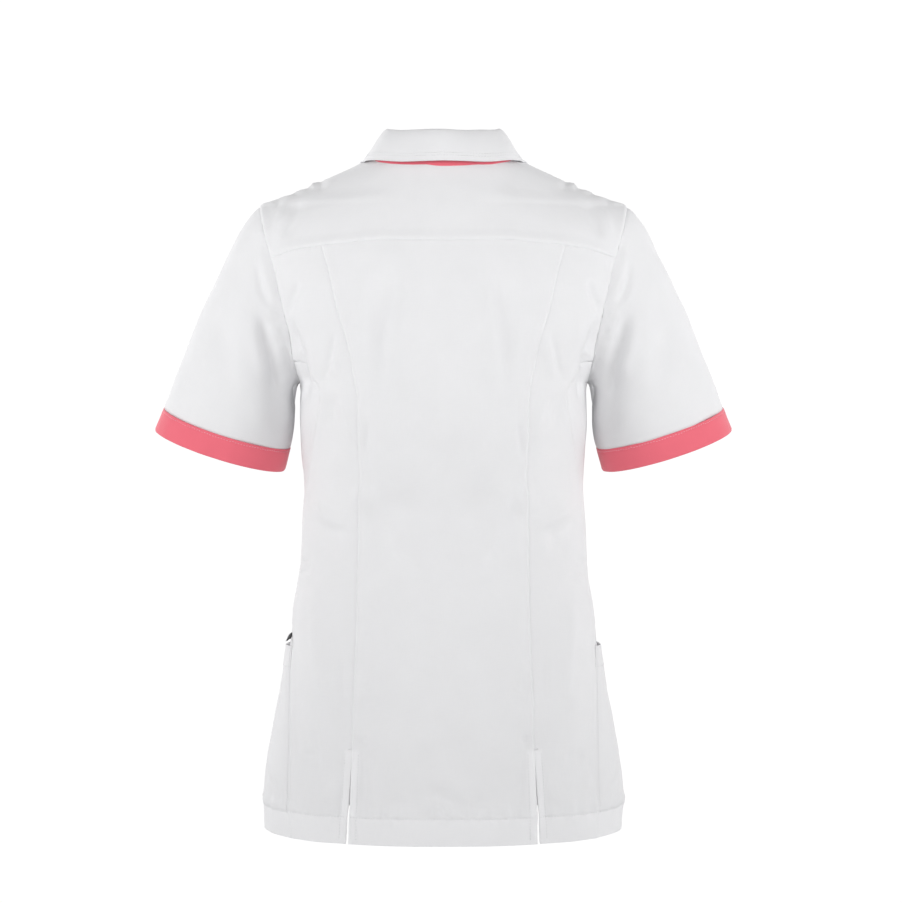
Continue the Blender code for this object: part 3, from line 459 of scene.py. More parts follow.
def armhole_share(height):
    """How open the armhole is at a height: 0 at its ends, 1 in its middle."""
    return np.sqrt(np.clip(1 - ((height - ARM_MIDDLE) / ARM_HALF) ** 2, 0.0, 1.0))


def half_width(height):
    """Half the body's width. From underarm to shoulder tip it passes through the armhole's edge."""
    height = np.asarray(height, float)
    square = back_square(height)
    share = ARMHOLE_BACK * armhole_share(height) / back_depth(height)
    through = armhole_out(height) * (1 - share**square) ** (-1 / square)
    beside_arm = (height > UNDERARM) & (height < SHOULDER_TIP)
    return np.where(beside_arm, through, half_width_table(height))


def fold_rise(x, y, height):
    """Height of the soft folds above the plain section."""
    rise = np.zeros_like(height)
    for side, from_centre, top, bottom, lean, half, depth in FOLDS:
        along = (top - height) / (top - bottom)
        across = (np.abs(x) - (from_centre + lean * along)) / half
        inside = ease(4 * along) * ease(4 * (1 - along)) * ((along > 0) & (along < 1))
        facing = (y > 0) if side == "back" else (y < 0)
        rise += depth * inside * np.exp(-across * across) * facing
    return rise


def body_surface(turn, height):
    """Points of the middle of the cloth at each turn and height."""
    turn, height = np.broadcast_arrays(np.asarray(turn, float), np.asarray(height, float))
    cosine, sine = np.cos(turn), np.sin(turn)
    at_back = sine >= 0
    depth = np.where(at_back, back_depth(height), front_depth(height))
    square = np.where(at_back, back_square(height), front_square(height))
    width = half_width(height)
    radius = (np.abs(cosine / width) ** square + np.abs(sine / depth) ** square) ** (-1 / square)
    x, y = radius * cosine, radius * sine
    off_bust = (np.abs(x) - BUST["from_centre"]) ** 2 + (height - BUST["height"]) ** 2
    bust = BUST["rise"] * np.exp(-off_bust / BUST["reach"] ** 2) * ease(-sine / BUST["fade"])
    radius = radius + bust
    radius = radius + fold_rise(x, y, height)
    return np.stack([radius * cosine, radius * sine, height], axis=-1)


def unit(vectors):
    return vectors / np.maximum(np.linalg.norm(vectors, axis=-1, keepdims=True), 1e-12)


def body_normal(turn, height):
    """Outward directions of the body's surface."""
    turn, height = np.broadcast_arrays(np.asarray(turn, float), np.asarray(height, float))
    round_it = body_surface(turn + STEP, height) - body_surface(turn - STEP, height)
    up_it = body_surface(turn, height + STEP) - body_surface(turn, height - STEP)
    return unit(np.cross(round_it, up_it))


def turn_at(from_centre, height, back=True):
    """The turn, on the wearer's left, at which the surface is this far from the centre line."""
    square = back_square(height) if back else front_square(height)
    depth = back_depth(height) if back else front_depth(height)
    share = np.clip(np.abs(from_centre) / half_width(height), 0.0, 1.0)
    y = depth * (1 - share**square) ** (1 / square)
    return np.arctan2(y if back else -y, from_centre)


# ---------------------------------------------------------------- seams, as (turn, height) stations


def armhole_station(around):
    """A station of the left armhole: 0 at the shoulder tip, pi at the underarm, positive behind."""
    around = np.asarray(around, float)
    height = ARM_MIDDLE + ARM_HALF * np.cos(around)
    reach = np.where(around > 0, ARMHOLE_BACK, ARMHOLE_FRONT)
    depth = np.where(around > 0, back_depth(height), front_depth(height))
    square = np.where(around > 0, back_square(height), front_square(height))
    y = reach * np.abs(np.sin(around))
    x = half_width(height) * (1 - (y / depth) ** square) ** (1 / square)
    return np.stack([np.arctan2(np.sign(around) * y, x), height], axis=-1)


def around_at(height, back=True):
    """The place round the armhole at a height, behind or in front."""
    around = math.acos(max(-1.0, min(1.0, (height - ARM_MIDDLE) / ARM_HALF)))
    return around if back else -around


def yoke_corner():
    """Where the back yoke seam meets the armhole."""
    low, high = around_at(-0.060), around_at(-0.140)
    for _ in range(50):
        middle = (low + high) / 2
        turn, height = armhole_station(middle)
        point = body_surface(turn, height)
        if height > yoke_seam_height(point[0]):
            low = middle
        else:
            high = middle
    return middle


YOKE_CORNER = yoke_corner()
SEAM_CORNER = around_at(SIDE_SEAM_TOP)
FRONT_CORNER = around_at(FRONT_YOKE_ARM, back=False)
FOOT_CORNER = around_at(ARM_FOOT, back=False)
CORNER = armhole_station(YOKE_CORNER)
CORNER_OUT = body_surface(*CORNER)[0]


def stations(first, last, count):
    """Evenly spaced numbers, FINE to each of the solids' stations."""
    return np.linspace(first, last, count * FINE + 1)


def hem_line(start, end, count):
    """Stations along the hem between two turns."""
    turns = stations(start, end, count)
    return np.stack([turns, np.full(len(turns), HEM)], axis=-1)


def seam_heights():
    """Heights shared by every vertical seam below the underarm."""
    return stations(HEM, ARM_LEVEL, LOWER_ROWS)


def princess_seam(open_by=0.0):
    """The left princess seam from the hem to the yoke; open_by parts it below the slit's top."""
    upper = stations(ARM_LEVEL, yoke_seam_height(YOKE_SPLIT), CORNER_ROWS + UPPER_ROWS)[1:]
    heights = np.concatenate([seam_heights(), upper])
    slit = np.clip((SLIT_TOP - heights) / (SLIT_TOP - HEM), 0.0, 1.0)
    out = princess_out(heights) + open_by * slit
    return np.stack([turn_at(out, heights), heights], axis=-1)


def side_seam():
    """The left side seam from the hem to the back of the armhole."""
    heights = np.concatenate([seam_heights(), stations(ARM_LEVEL, SIDE_SEAM_TOP, CORNER_ROWS)[1:]])
    seam = np.stack([turn_at(side_seam_out(heights), heights), heights], axis=-1)
    seam[-1] = armhole_station(SEAM_CORNER)
    return seam


def armhole_part(first, last, count):
    return armhole_station(stations(first, last, count))


def yoke_seam(first_out, last_out, count, last=None):
    """Stations of the back yoke seam between two distances from the centre."""
    outs = stations(first_out, last_out, count)
    heights = yoke_seam_height(outs)
    seam = np.stack([turn_at(outs, heights), heights], axis=-1)
    if last is not None:
        seam[-1] = last
    return seam


def neckline_height(turn):
    """Height of the body's upper edge at a turn, on the wearer's left."""
    foot = (-math.degrees(turn_at(-WRAP, NECK_FOOT, False)), NECK_FOOT)
    before = smooth_curve((*FRONT_NECK, foot))(-np.degrees(turn))
    behind = NAPE + (NECK_SIDE - NAPE) * np.abs(np.cos(turn)) ** NECK_RISE
    return np.where(np.asarray(turn) > 0, behind, before)


def neck_line(first, last, count):
    """Stations along the neckline between two turns."""
    turns = stations(first, last, count)
    return np.stack([turns, neckline_height(turns)], axis=-1)


def front_line(beyond=0.0):
    """The left front's inner edge from hem to neckline, or a line this far beyond it."""
    heights = np.concatenate([seam_heights(), stations(ARM_LEVEL, NECK_FOOT, CORNER_ROWS)[1:]])
    return np.stack([turn_at(beyond - WRAP, heights, False), heights], axis=-1)


def mirrored(line):
    """The same stations on the wearer's right."""
    return np.stack([math.pi - line[:, 0], line[:, 1]], axis=-1)


# ---------------------------------------------------------------- panels and sheets of cloth


def patch(bottom, top, left, right, up=None):
    """(turn, height) of a grid whose edges are four lines of stations, blended across its inside.

    up says how far each row has gone over from the bottom's shape to the top's.
    """
    across = np.linspace(0, 1, len(bottom))[:, None, None]
    up = (np.linspace(0, 1, len(left)) if up is None else up)[None, :, None]
    sides = (1 - across) * left[None] + across * right[None]
    ends = (1 - up) * bottom[:, None] + up * top[:, None]
    corners = (1 - up) * ((1 - across) * bottom[0] + across * bottom[-1]) + up * (
        (1 - across) * top[0] + across * top[-1]
    )
    return sides + ends - corners


def flipped(grid):
    """A left panel's grid on the wearer's right, with its columns turned about to face out."""
    right = grid[::-1].copy()
    right[..., 0] = math.pi - right[..., 0]
    return right


# ---------------------------------------------------------------- the back


def back_centre_grid():
    left = princess_seam()
    right = mirrored(left)
    outs = stations(YOKE_SPLIT, -YOKE_SPLIT, CENTRE_COLUMNS)
    heights = yoke_seam_height(np.abs(outs))
    top = np.stack([turn_at(np.abs(outs), heights), heights], axis=-1)
    top[outs < 0, 0] = math.pi - top[outs < 0, 0]
    left[-1], right[-1] = top[0], top[-1]
    return patch(hem_line(left[0, 0], right[0, 0], CENTRE_COLUMNS), top, left, right)


def back_side_grid():
    inner = princess_seam(SLIT_OPEN)
    arm = armhole_part(SEAM_CORNER, YOKE_CORNER, UPPER_ROWS)
    outer = np.concatenate([side_seam(), arm[1:]])
    top = yoke_seam(CORNER_OUT, YOKE_SPLIT, SIDE_COLUMNS)
    top[0] = CORNER
    inner[-1] = top[-1]
    return patch(hem_line(outer[0, 0], inner[0, 0], SIDE_COLUMNS), top, outer, inner)


def yoke_grid():
    """Half of the yoke: columns run from the centre of the back to the front yoke seam."""
    half = CENTRE_COLUMNS // 2
    outer = np.concatenate(
        [
            yoke_seam(0.0, YOKE_SPLIT, half),
            yoke_seam(YOKE_SPLIT, CORNER_OUT, SIDE_COLUMNS, CORNER)[1:],
            armhole_part(YOKE_CORNER, 0.0, YOKE_ARM_ROWS)[1:],
            armhole_part(0.0, FRONT_CORNER, YOKE_ARM_ROWS)[1:],
        ]
    )
    outer[0, 0] = math.pi / 2
    back_count = half + SIDE_COLUMNS + YOKE_ARM_ROWS - 3
    before = (len(outer) - 1) // FINE - back_count
    neck = np.concatenate(
        [
            neck_line(math.pi / 2, 0.0, back_count),
            neck_line(0.0, -math.radians(FRONT_YOKE_NECK), before)[1:],
        ]
    )
    up = 1 - (1 - stations(0, 1, YOKE_ROWS)) ** YOKE_CROWD
    first = outer[0] + (neck[0] - outer[0]) * up[:, None]
    last = outer[-1] + (neck[-1] - outer[-1]) * up[:, None]
    return patch(outer, neck, first, last, up)


def arm_foot():
    """Places round the armhole under the arm, from the side seam forward."""
    return stations(SEAM_CORNER, FOOT_CORNER + 2 * math.pi, ARM_FOOT_COLUMNS)


def front_grids():
    """The left front as two grids, below the armhole and beside it, from the centre out."""
    around = arm_foot()
    foot = armhole_station(np.where(around > math.pi, around - 2 * math.pi, around))[::-1]
    *strips, inner = (front_line(beyond) for beyond in stations(0.0, 2 * WRAP, 2))
    across = stations(0, 1, FRONT_COLUMNS - ARM_FOOT_COLUMNS)[:, None]
    level = inner[-1] * (1 - across) + foot[0] * across
    seam = side_seam()
    hem = hem_line(inner[0, 0], seam[0, 0], FRONT_COLUMNS)
    up = np.linspace(0, 1, len(seam)) ** FRONT_BLEND
    rest = patch(hem, np.concatenate([level, foot[1:]]), inner, seam, up)
    lower = np.concatenate([strips, rest])
    neck = neck_line(lower[0, -1, 0], -math.radians(FRONT_YOKE_NECK), FRONT_ARM_ROWS)
    arm = armhole_part(FOOT_CORNER, FRONT_CORNER, FRONT_ARM_ROWS)
    chest = lower[: -ARM_FOOT_COLUMNS * FINE, -1]
    across = np.linspace(0, 1, len(chest))[:, None]
    return [lower, patch(chest, neck[-1] * (1 - across) + arm[-1] * across, neck, arm)]


def front_lift(direction):
    """The fronts part at the centre, so that the right lies on the left."""

    def lift(points):
        near = 1 - ease((np.abs(points[..., 0]) - WRAP) / WRAP_FADE)
        return direction * near * LAYER / 2

    return lift


# ---------------------------------------------------------------- sleeves and their bands


def armhole_loop():
    """Every station of the left armhole once, up its front, down its back and under the arm."""
    parts = (
        stations(FOOT_CORNER, FRONT_CORNER, FRONT_ARM_ROWS),
        stations(FRONT_CORNER, 0.0, YOKE_ARM_ROWS)[1:],
        stations(0.0, YOKE_CORNER, YOKE_ARM_ROWS)[1:],
        stations(YOKE_CORNER, SEAM_CORNER, UPPER_ROWS)[1:],
        arm_foot()[1:-1],
    )
    return np.concatenate(parts)


def sleeve_end_frame():
    """The centre of the band's lower edge, the way across it and the way down the arm."""
    outer = np.array([SLEEVE_END_OUTER[0], SLEEVE_FORWARD, SLEEVE_END_OUTER[1]])
    inner = np.array([SLEEVE_END_INNER[0], SLEEVE_FORWARD, SLEEVE_END_INNER[1]])
    tilt = -SLEEVE_BACK_DROP / SLEEVE_HALF_DEPTH
    down = unit(np.array([SLEEVE_DOWN[0], tilt, SLEEVE_DOWN[1]]))
    return (outer + inner) / 2, (outer - inner) / 2, down


def sleeve_ring(around, above):
    """Points of the sleeve's lower part, this far up the arm from the band's lower edge."""
    centre, across, down = sleeve_end_frame()
    depth = np.array([0.0, SLEEVE_HALF_DEPTH, -SLEEVE_BACK_DROP])
    ring = np.cos(around)[..., None] * across + np.sin(around)[..., None] * depth
    return centre + ring * (1 - SLEEVE_TAPER * above) - down * above


def sleeve_surface(around, along):
    """Points of the left sleeve, from along 0 at the armhole to 1 at the band."""
    turn, height = armhole_station(around).T
    edge = body_surface(turn, height)
    normal = body_normal(turn, height)
    ahead = body_surface(*armhole_station(around + STEP).T)
    round_it = unit(ahead - edge)
    leaving = np.cross(round_it, normal)
    leaving *= np.sign(leaving[:, :1] + 1e-3)
    top = (0.5 + 0.5 * np.cos(around))[:, None]
    outward = unit(np.array([1.0, 0.0, UNDERARM_LIFT]))
    start = unit(leaving * top + outward * (1 - top))
    bend = np.linalg.norm(np.cross(start, leaving), axis=-1)[:, None]
    first = edge + start * (SEAM_GAP / 2 + (CLOTH + 2 * SEAM_GAP) / 2 * bend)
    last = sleeve_ring(around, CUFF_WIDTH)
    down = sleeve_end_frame()[2]
    leaves = start * (SLEEVE_LEAVES[0] * top + SLEEVE_LEAVES[1] * (1 - top))
    arrives = down * (SLEEVE_ARRIVES[0] * top + SLEEVE_ARRIVES[1] * (1 - top))
    t = along[None, :, None]
    return cubic(t, *(item[:, None] for item in (first, last, leaves, arrives)))


def neckline(station):
    """(turn, height) at a station: 0 at the back's centre, 1 at the shoulder, 2 at the end."""
    station = np.asarray(station, float)
    behind = (1 - station) * math.pi / 2
    before = (1 - station) * math.radians(COLLAR_END)
    turn = np.where(station <= 1, behind, before)
    return turn, neckline_height(turn)


def collar_frame(station):
    """Points of the neckline, and the ways out from it and up from it."""
    turn, height = neckline(station)
    base = body_surface(turn, height)
    along = unit(body_surface(*neckline(station + STEP)) - body_surface(*neckline(station - STEP)))
    normal = body_normal(turn, height)
    out = unit(normal * np.array([1.0, 1.0, 0.0]))
    upright = np.broadcast_to(np.array([0.0, 0.0, 1.0]), out.shape)
    off_cloth = unit(np.cross(along, normal))
    off_cloth *= np.sign(off_cloth[:, 2:])
    follow = np.stack([smooth_curve(COLLAR_SHAPE, 0, 6)(station)] * 3, axis=-1)
    up = unit(upright * (1 - follow) + off_cloth * follow)
    out = unit(out * (1 - follow) + normal * follow)
    return base, out, up


def clear_of_body(points, clearance):
    """Points moved off the body's surface until they stand this far outside it."""
    points = points.copy()
    for _ in range(4):
        turn = np.arctan2(points[..., 1], points[..., 0])
        height = points[..., 2]
        surface = body_surface(turn, height)
        normal = body_normal(turn, height)
        reach, limit = (np.linalg.norm(item[..., :2], axis=-1) for item in (points, surface))
        beyond = reach - limit
        radial = np.stack([np.cos(turn), np.sin(turn), np.zeros_like(turn)], axis=-1)
        short = clearance - beyond * (normal * radial).sum(-1)
        beside = height < BODY[0][0]
        points += normal * (np.maximum(short, 0) * beside)[..., None]
    return points


def stand_points(station):
    height, out_by = (smooth_curve(COLLAR_SHAPE, 0, i)(station) for i in (1, 2))
    base, out, up = collar_frame(station)
    rise = stations(0, 1, STAND_ROWS)[None, :, None]
    foot = SEAM_GAP + COLLAR_CLOTH / 2
    lift = foot + (height[:, None, None] - foot) * rise
    lean = out_by[:, None, None] * rise**STAND_LEAN
    return base[:, None] + up[:, None] * lift + out[:, None] * lean


def leaf_points(station):
    height, out_by, leaf_out, leaf_up, roll = (
        smooth_curve(COLLAR_SHAPE, 0, i)(station)[:, None, None] for i in (1, 2, 3, 4, 5)
    )
    base, out, up = (item[:, None] for item in collar_frame(station))
    lean = STAND_LEAN * out_by / height
    (inner_out, inner_up), (outer_out, outer_up) = LEAF_FOLD
    corners = (
        (out_by + lean * LEAF_START, height + LEAF_START),
        (out_by + lean * roll * inner_out, height + roll * inner_up),
        (out_by + roll * outer_out, height + roll * outer_up),
        (leaf_out, leaf_up),
    )
    t = (stations(0, 1, LEAF_ROWS) ** LEAF_CROWD)[None, :, None]
    weights = ((1 - t) ** 3, 3 * t * (1 - t) ** 2, 3 * t * t * (1 - t), t**3)
    off = sum(weight * corner[0] for weight, corner in zip(weights, corners))
    rise = sum(weight * corner[1] for weight, corner in zip(weights, corners))
    return base + out * off + up * rise


# ---------------------------------------------------------------- sheets of cloth


def near_lines(grid, axis, after=(), before=()):
    """The grid with more lines of stations close after or before the named ones."""
    lines = list(np.moveaxis(grid, axis, 0))
    made = []
    for i, line in enumerate(lines):
        if i in before:
            made += [lines[i - 1] * (1 - share) + line * share for share in (0.40, 0.70, 0.88)]
        made.append(line)
        if i in after:
            made += [line * (1 - share) + lines[i + 1] * share for share in (0.12, 0.30, 0.60)]
    return np.moveaxis(np.array(made), 0, axis)


def edged(grid, rows_after=(), rows_before=()):
    """A panel's grid with more stations along its four edges."""
    columns, rows = grid.shape[0] - 1, grid.shape[1] - 1
    grid = near_lines(grid, 0, (0,), (columns,))
    return near_lines(grid, 1, (0, *rows_after), (rows, *rows_before))


def join_grids(grids):
    """One sheet from grids of points and what each carries: points, that, and quad faces."""
    numbers, points, carried, faces = {}, [], [], []
    for grid, carries in grids:
        columns, rows = grid.shape[:2]
        index = np.empty((columns, rows), int)
        for i, j in np.ndindex(columns, rows):
            place = tuple(np.round(grid[i, j], 6))
            if place not in numbers:
                numbers[place] = len(points)
                points.append(grid[i, j])
                carried.append(carries[i, j])
            index[i, j] = numbers[place]
        a, b, c, d = index[:-1, :-1], index[1:, :-1], index[1:, 1:], index[:-1, 1:]
        faces.append(np.stack([a, b, c, d], axis=-1).reshape(-1, 4))
    return np.array(points), np.array(carried), np.concatenate(faces)


def waves(at, length, seed, count=14):
    """An irregular wave of about this length, from -1 to 1 or so, over numbers or points."""
    rng = np.random.default_rng(seed)
    at = np.asarray(at, float)
    if at.ndim == 1:
        at = at[:, None]
    ways = rng.normal(size=(count, at.shape[1]))
    spread = rng.uniform(0.6, 1.5, (count, 1))
    ways *= 2 * math.pi / length * spread / np.linalg.norm(ways, axis=1)[:, None]
    wave = np.sin(at @ ways.T + rng.uniform(0, 2 * math.pi, count)).sum(-1)
    return wave * math.sqrt(2 / count) * 0.7


def through(points, count=22):
    """A smooth line through two to four pairs of numbers."""
    points = np.array(points, float)
    at = np.linspace(0, len(points) - 1, count)
    curves = [smooth_curve([(i, p[k]) for i, p in enumerate(points)]) for k in (0, 1)]
    return np.stack([curve(at) for curve in curves], axis=-1)


def crease_lines(table, back, signs=(1, -1)):
    """Each crease as (half_width, rise, points in space)."""
    lines = []
    for half, rise, *points in table:
        out, height = through(np.reshape(points, (-1, 2)) / 1000).T
        turn = turn_at(np.abs(out), height, back)
        turn = np.where(out < 0, math.pi - turn, turn)
        line = body_surface(turn, height)
        lines += [(half / 1000, rise / 1000, line * np.array([sign, 1, 1])) for sign in signs]
    return lines


def within(points, line, reach):
    """Which points are inside a line's box, grown by reach."""
    return np.all((points > line.min(0) - reach) & (points < line.max(0) + reach), axis=1)


def creased(points, lines):
    """How far creases lift each point."""
    rise = np.zeros(len(points))
    for half, height, line in lines:
        near = np.nonzero(within(points, line, 2.6 * half))[0]
        if not len(near):
            continue
        start, step = line[:-1], np.diff(line, axis=0)
        gap = points[near][:, None] - start[None]
        share = np.clip((gap * step).sum(-1) / (step * step).sum(-1), 0, 1)
        away = np.linalg.norm(gap - share[..., None] * step, axis=-1)
        k = away.argmin(axis=1)
        pick = np.arange(len(near))
        along = (k + share[pick, k]) / len(start)
        fade = ease(3.2 * along) * ease(3.2 * (1 - along))
        rise[near] += height * fade * bell(away[pick, k], half)
    return rise


body_creases = (
    crease_lines(BACK_CREASES, True)
    + crease_lines(FRONT_CREASES, False)
    + crease_lines(LONE_CREASES, True, (1,))
)


def body_relief(points):
    """How far the body's cloth lies from its plain surface, from its creases and its unevenness."""
    rise = creased(points, body_creases)
    for length, height in UNEVEN:
        rise += height * waves(points, length, 7)
    return rise


def run_of(line):
    """How far along a line of points each of them is."""
    return np.concatenate([[0], np.cumsum(np.linalg.norm(np.diff(line, axis=0), axis=1))])


def closer(line, spacing=CLOSE):
    """A line of points in space with points this close together."""
    at = run_of(line)
    wanted = np.arange(0, at[-1], spacing)
    return np.stack([np.interp(wanted, at, line[:, k]) for k in range(3)], axis=-1)


def off_line(points, line, reach=0.016):
    """Each point's distance from a line, or reach if it is far, and how far along that is."""
    line = closer(line)
    tree = KDTree(len(line))
    for i, place in enumerate(line):
        tree.insert(place, i)
    tree.balance()
    away, along = np.full(len(points), reach), np.zeros(len(points))
    for i in np.nonzero(within(points, line, reach))[0]:
        _, k, distance = tree.find(points[i])
        if distance < reach:
            away[i], along[i] = distance, k * CLOSE
    return away, along


def nearest_seam(points, lines):
    """Each point's distance from the nearest of some lines, and how far along that one it is."""
    nowhere = (np.full(len(points), 1.0), np.zeros(len(points)))
    found = [off_line(points, line) for line in lines] or [nowhere]
    away, along = (np.array(item) for item in zip(*found))
    pick = away.argmin(axis=0), np.arange(len(points))
    return away[pick], along[pick]


def seam_relief(points, seams):
    """A seam's high side rounds up over the allowance underneath, and its low side dips."""
    away, along = nearest_seam(points, [line for line, high in seams if not high])
    rise = -SEAM_VALLEY["depth"] * bell(away, SEAM_VALLEY["width"])
    rise += PUCKER["rise"] * waves(along, PUCKER["length"], 11) * bell(away, PUCKER["reach"])
    away, along = nearest_seam(points, [line for line, high in seams if high])
    for bump, start in ((ALLOWANCE, ALLOWANCE["width"]), (LIP, LIP["width"])):
        rounded = ease(away / LIP["width"])
        rise += bump["rise"] * rounded * (1 - ease((away - start) / bump["soft"]))
    return rise + PUCKER["rise"] * waves(along, PUCKER["length"], 12) * bell(away, PUCKER["reach"])


def hem_relief(points, turn):
    """The hem stands off the cloth above it, with a stitched groove and its puckers."""
    off = points[:, 2] - HEM - HEM_DEPTH
    rise = HEM_STAND["rise"] * (1 - ease(off / HEM_STAND["over"]))
    rise -= HEM_STAND["groove"] * bell(off, HEM_STAND["width"])
    rise -= HEM_STAND["tuck"] * np.clip(-off / HEM_DEPTH, 0, 1)
    fade = bell(off, np.where(off > 0, HEM_PUCKER["reach"], HEM_PUCKER["reach"] / 3))
    return rise + HEM_PUCKER["rise"] * waves(turn * 0.15, HEM_PUCKER["length"], 5) * fade


def by_slit(points, line, soft):
    """How far each point is below the slit's top, in the turned-back band, and from the slit."""
    away, _ = off_line(points, line)
    below = ease((SLIT_TOP - points[:, 2]) / SLIT_EDGE["top"])
    return below, 1 - ease((away - SLIT_BAND) / soft), away


def slit_relief(points, line):
    """Beside a slit the cloth is turned back, and so thicker."""
    below, band, away = by_slit(points, line, SLIT_EDGE["soft"])
    groove = bell(away - SLIT_BAND, SLIT_EDGE["fine"])
    return below * (SLIT_EDGE["rise"] * band - SLIT_EDGE["groove"] * groove)


def doubled_cloth(points, hem, slit):
    """Where cloth is turned back on itself, 0 to 1: below the hem's stitches and by a slit."""
    doubled = np.zeros(len(points))
    if hem:
        doubled = 1 - ease((points[:, 2] - HEM - HEM_DEPTH) / SLIT_EDGE["fine"])
    if slit is not None:
        below, band, _ = by_slit(points, slit, SLIT_EDGE["fine"])
        doubled = np.maximum(doubled, below * band)
    return doubled


def on_body(line):
    """A line of (turn, height) stations as points in space."""
    return body_surface(line[:, 0], line[:, 1])


def added(name, data):
    """A new object in the scene."""
    thing = bpy.data.objects.new(name, data)
    bpy.context.scene.collection.objects.link(thing)
    return thing


def link(name, mesh, look, replaces=None):
    """Puts a mesh in the scene as a piece of the garment. look is its material and a slot name,
    which is not used.
    """
    material, slot = look
    mesh.materials.append(material)
    piece = added(name, mesh)
    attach(piece, "root")
    if replaces:
        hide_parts(replaces)
    return piece


def flat_size(grids):
    """Width and length of the cloth that grids were cut from: the longest way across, and up."""
    across = [np.linalg.norm(np.diff(grid, axis=0), axis=-1).sum(0).max() for grid in grids]
    up = [np.linalg.norm(np.diff(grid, axis=1), axis=-1).sum(1).max() for grid in grids]
    return max(across), sum(up)


def cloth_area(points, faces):
    a, b, c, d = (points[faces[:, k]] for k in range(4))
    return np.linalg.norm(np.cross(c - a, d - b), axis=-1).sum() / 2


trees = {}


def sheet_piece(name, sheet, look, replaces, flat, held, thick=CLOTH_THICK, doubled=None):
    """A thin sheet of cloth about its middle layer.

    sheet is its points, each point's place on the flat cloth, and its faces. flat, its width and
    length before it was sewn, and held, how it is held and by which pieces, are not used.
    """
    points, grain, faces = sheet
    mesh = bpy.data.meshes.new(name)
    mesh.from_pydata(points.tolist(), [], faces.tolist())
    layer = mesh.uv_layers.new(name="grain")
    corners = np.zeros(len(mesh.loops), np.int32)
    mesh.loops.foreach_get("vertex_index", corners)
    layer.data.foreach_set("uv", grain[corners].astype(np.float32).ravel())
    mesh.shade_smooth()
    if doubled is not None:
        values = mesh.attributes.new("doubled", "FLOAT", "POINT").data
        values.foreach_set("value", doubled.astype(np.float32))
    piece = link(name, mesh, look, replaces)
    wall = piece.modifiers.new("thickness", "SOLIDIFY")
    wall.thickness = thick
    wall.offset = 0.0
    trees[name] = BVHTree.FromPolygons(points.tolist(), faces.tolist())
    if held:
        area = min(cloth_area(points, faces), flat[0] * flat[1])
        flat = tuple(map(float, flat))
        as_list(held[1])
    return piece


def panel(node, grids, seams, lift=None, slit=None, hem=True):
    """A panel of the body in a node's place. seams are (line, high) pairs of its edges."""
    placed = []
    for grid in grids:
        turn, height = grid[..., 0], grid[..., 1]
        points = body_surface(turn, height)
        raised = lift(points) if lift else np.zeros(points.shape[:2])
        carried = np.concatenate([body_normal(turn, height), grid, raised[..., None]], axis=-1)
        placed.append((points, carried))
    points, carried, faces = join_grids(placed)
    normals, turn, raised = carried[:, :3], carried[:, 3], carried[:, 5]
    rise = body_relief(points) + raised + seam_relief(points, seams)
    if hem:
        rise += hem_relief(points, turn)
    if slit is not None:
        rise += slit_relief(points, slit)
    grain = np.stack([turn * BODY_ROUND, points[:, 2]], axis=-1)
    flat = flat_size([base for base, _ in placed])
    held = ("hung", ["cloth_back_yoke"]) if hem else ("draped", [])
    doubled = doubled_cloth(points, hem, slit)
    moved = points + normals * rise[:, None]
    sheet_piece("cloth_" + node, (moved, grain, faces), WHITE, node, flat, held, doubled=doubled)


# ---------------------------------------------------------------- materials


def fill(tree, node, inputs):
    """Sets a node's inputs, or links them where they are another node's outputs."""
    for name, value in inputs.items():
        if isinstance(value, bpy.types.NodeSocket):
            tree.links.new(value, node.inputs[name])
        else:
            node.inputs[name].default_value = value


def adder(tree):
    """A function that adds a node of a kind to a tree, with its inputs and its fields."""

    def add(kind, inputs, **fields):
        node = tree.nodes.new("ShaderNode" + kind)
        for field, value in fields.items():
            setattr(node, field, value)
        fill(tree, node, inputs)
        return node.outputs

    return add


def new_material(name):
    material = bpy.data.materials.new(name)
    material.use_nodes = True
    return material, material.node_tree, adder(material.node_tree)


def cloth_material(name, colour, sheen):
    """Woven cloth: a fine twill, slubs in its threads, a faint unevenness of tone, a soft sheen."""
    material, tree, add = new_material(name)
    grain = add("UVMap", {}, uv_map="grain")["UV"]

    def noise(across, up, scale, detail):
        place = add("Mapping", {"Vector": grain, "Scale": (across, up, 1)})["Vector"]
        return add("TexNoise", {"Vector": place, "Scale": scale, "Detail": detail})["Fac"]

    def mixed(kind, a, b):
        return add("Math", {0: a, 1: b}, operation=kind)["Value"]

    def blend(a, of_a, b, of_b):
        return mixed("ADD", mixed("MULTIPLY", a, of_a), mixed("MULTIPLY", b, of_b))

    wave = {"Vector": grain, "Scale": 1100.0, "Distortion": 0.6}
    twill = add("TexWave", wave, bands_direction="DIAGONAL")["Fac"]
    threads = blend(noise(1500, 90, 1.0, 2.0), 0.5, noise(90, 1500, 1.0, 2.0), 0.5)
    height = blend(twill, 0.35, threads, 0.9)
    bump = add("Bump", {"Strength": 0.55, "Distance": 0.00018, "Height": height})
    tone = blend(threads, 0.6, noise(1, 1, 28.0, 3.0), 0.4)
    span = {"From Min": 0.3, "From Max": 0.7, "To Min": 0.955, "To Max": 1.0}
    ramp = add("MapRange", {"Value": tone, **span})["Result"]
    doubled = add("Attribute", {}, attribute_name="doubled")["Fac"]
    layers = mixed("ADD", mixed("MULTIPLY", doubled, 1 - SINGLE), SINGLE)
    shade = {"Factor": 1.0, "A": (*colour, 1), "B": mixed("MULTIPLY", ramp, layers)}
    tint = add("Mix", shade, data_type="RGBA", blend_type="MULTIPLY")
    look = {
        "Roughness": 0.88,
        "Specular IOR Level": 0.25,
        "Sheen Weight": sheen,
        "Sheen Roughness": 0.45,
        "Normal": bump["Normal"],
        "Base Color": tint["Result"],
    }
    fill(tree, tree.nodes["Principled BSDF"], look)
    return material


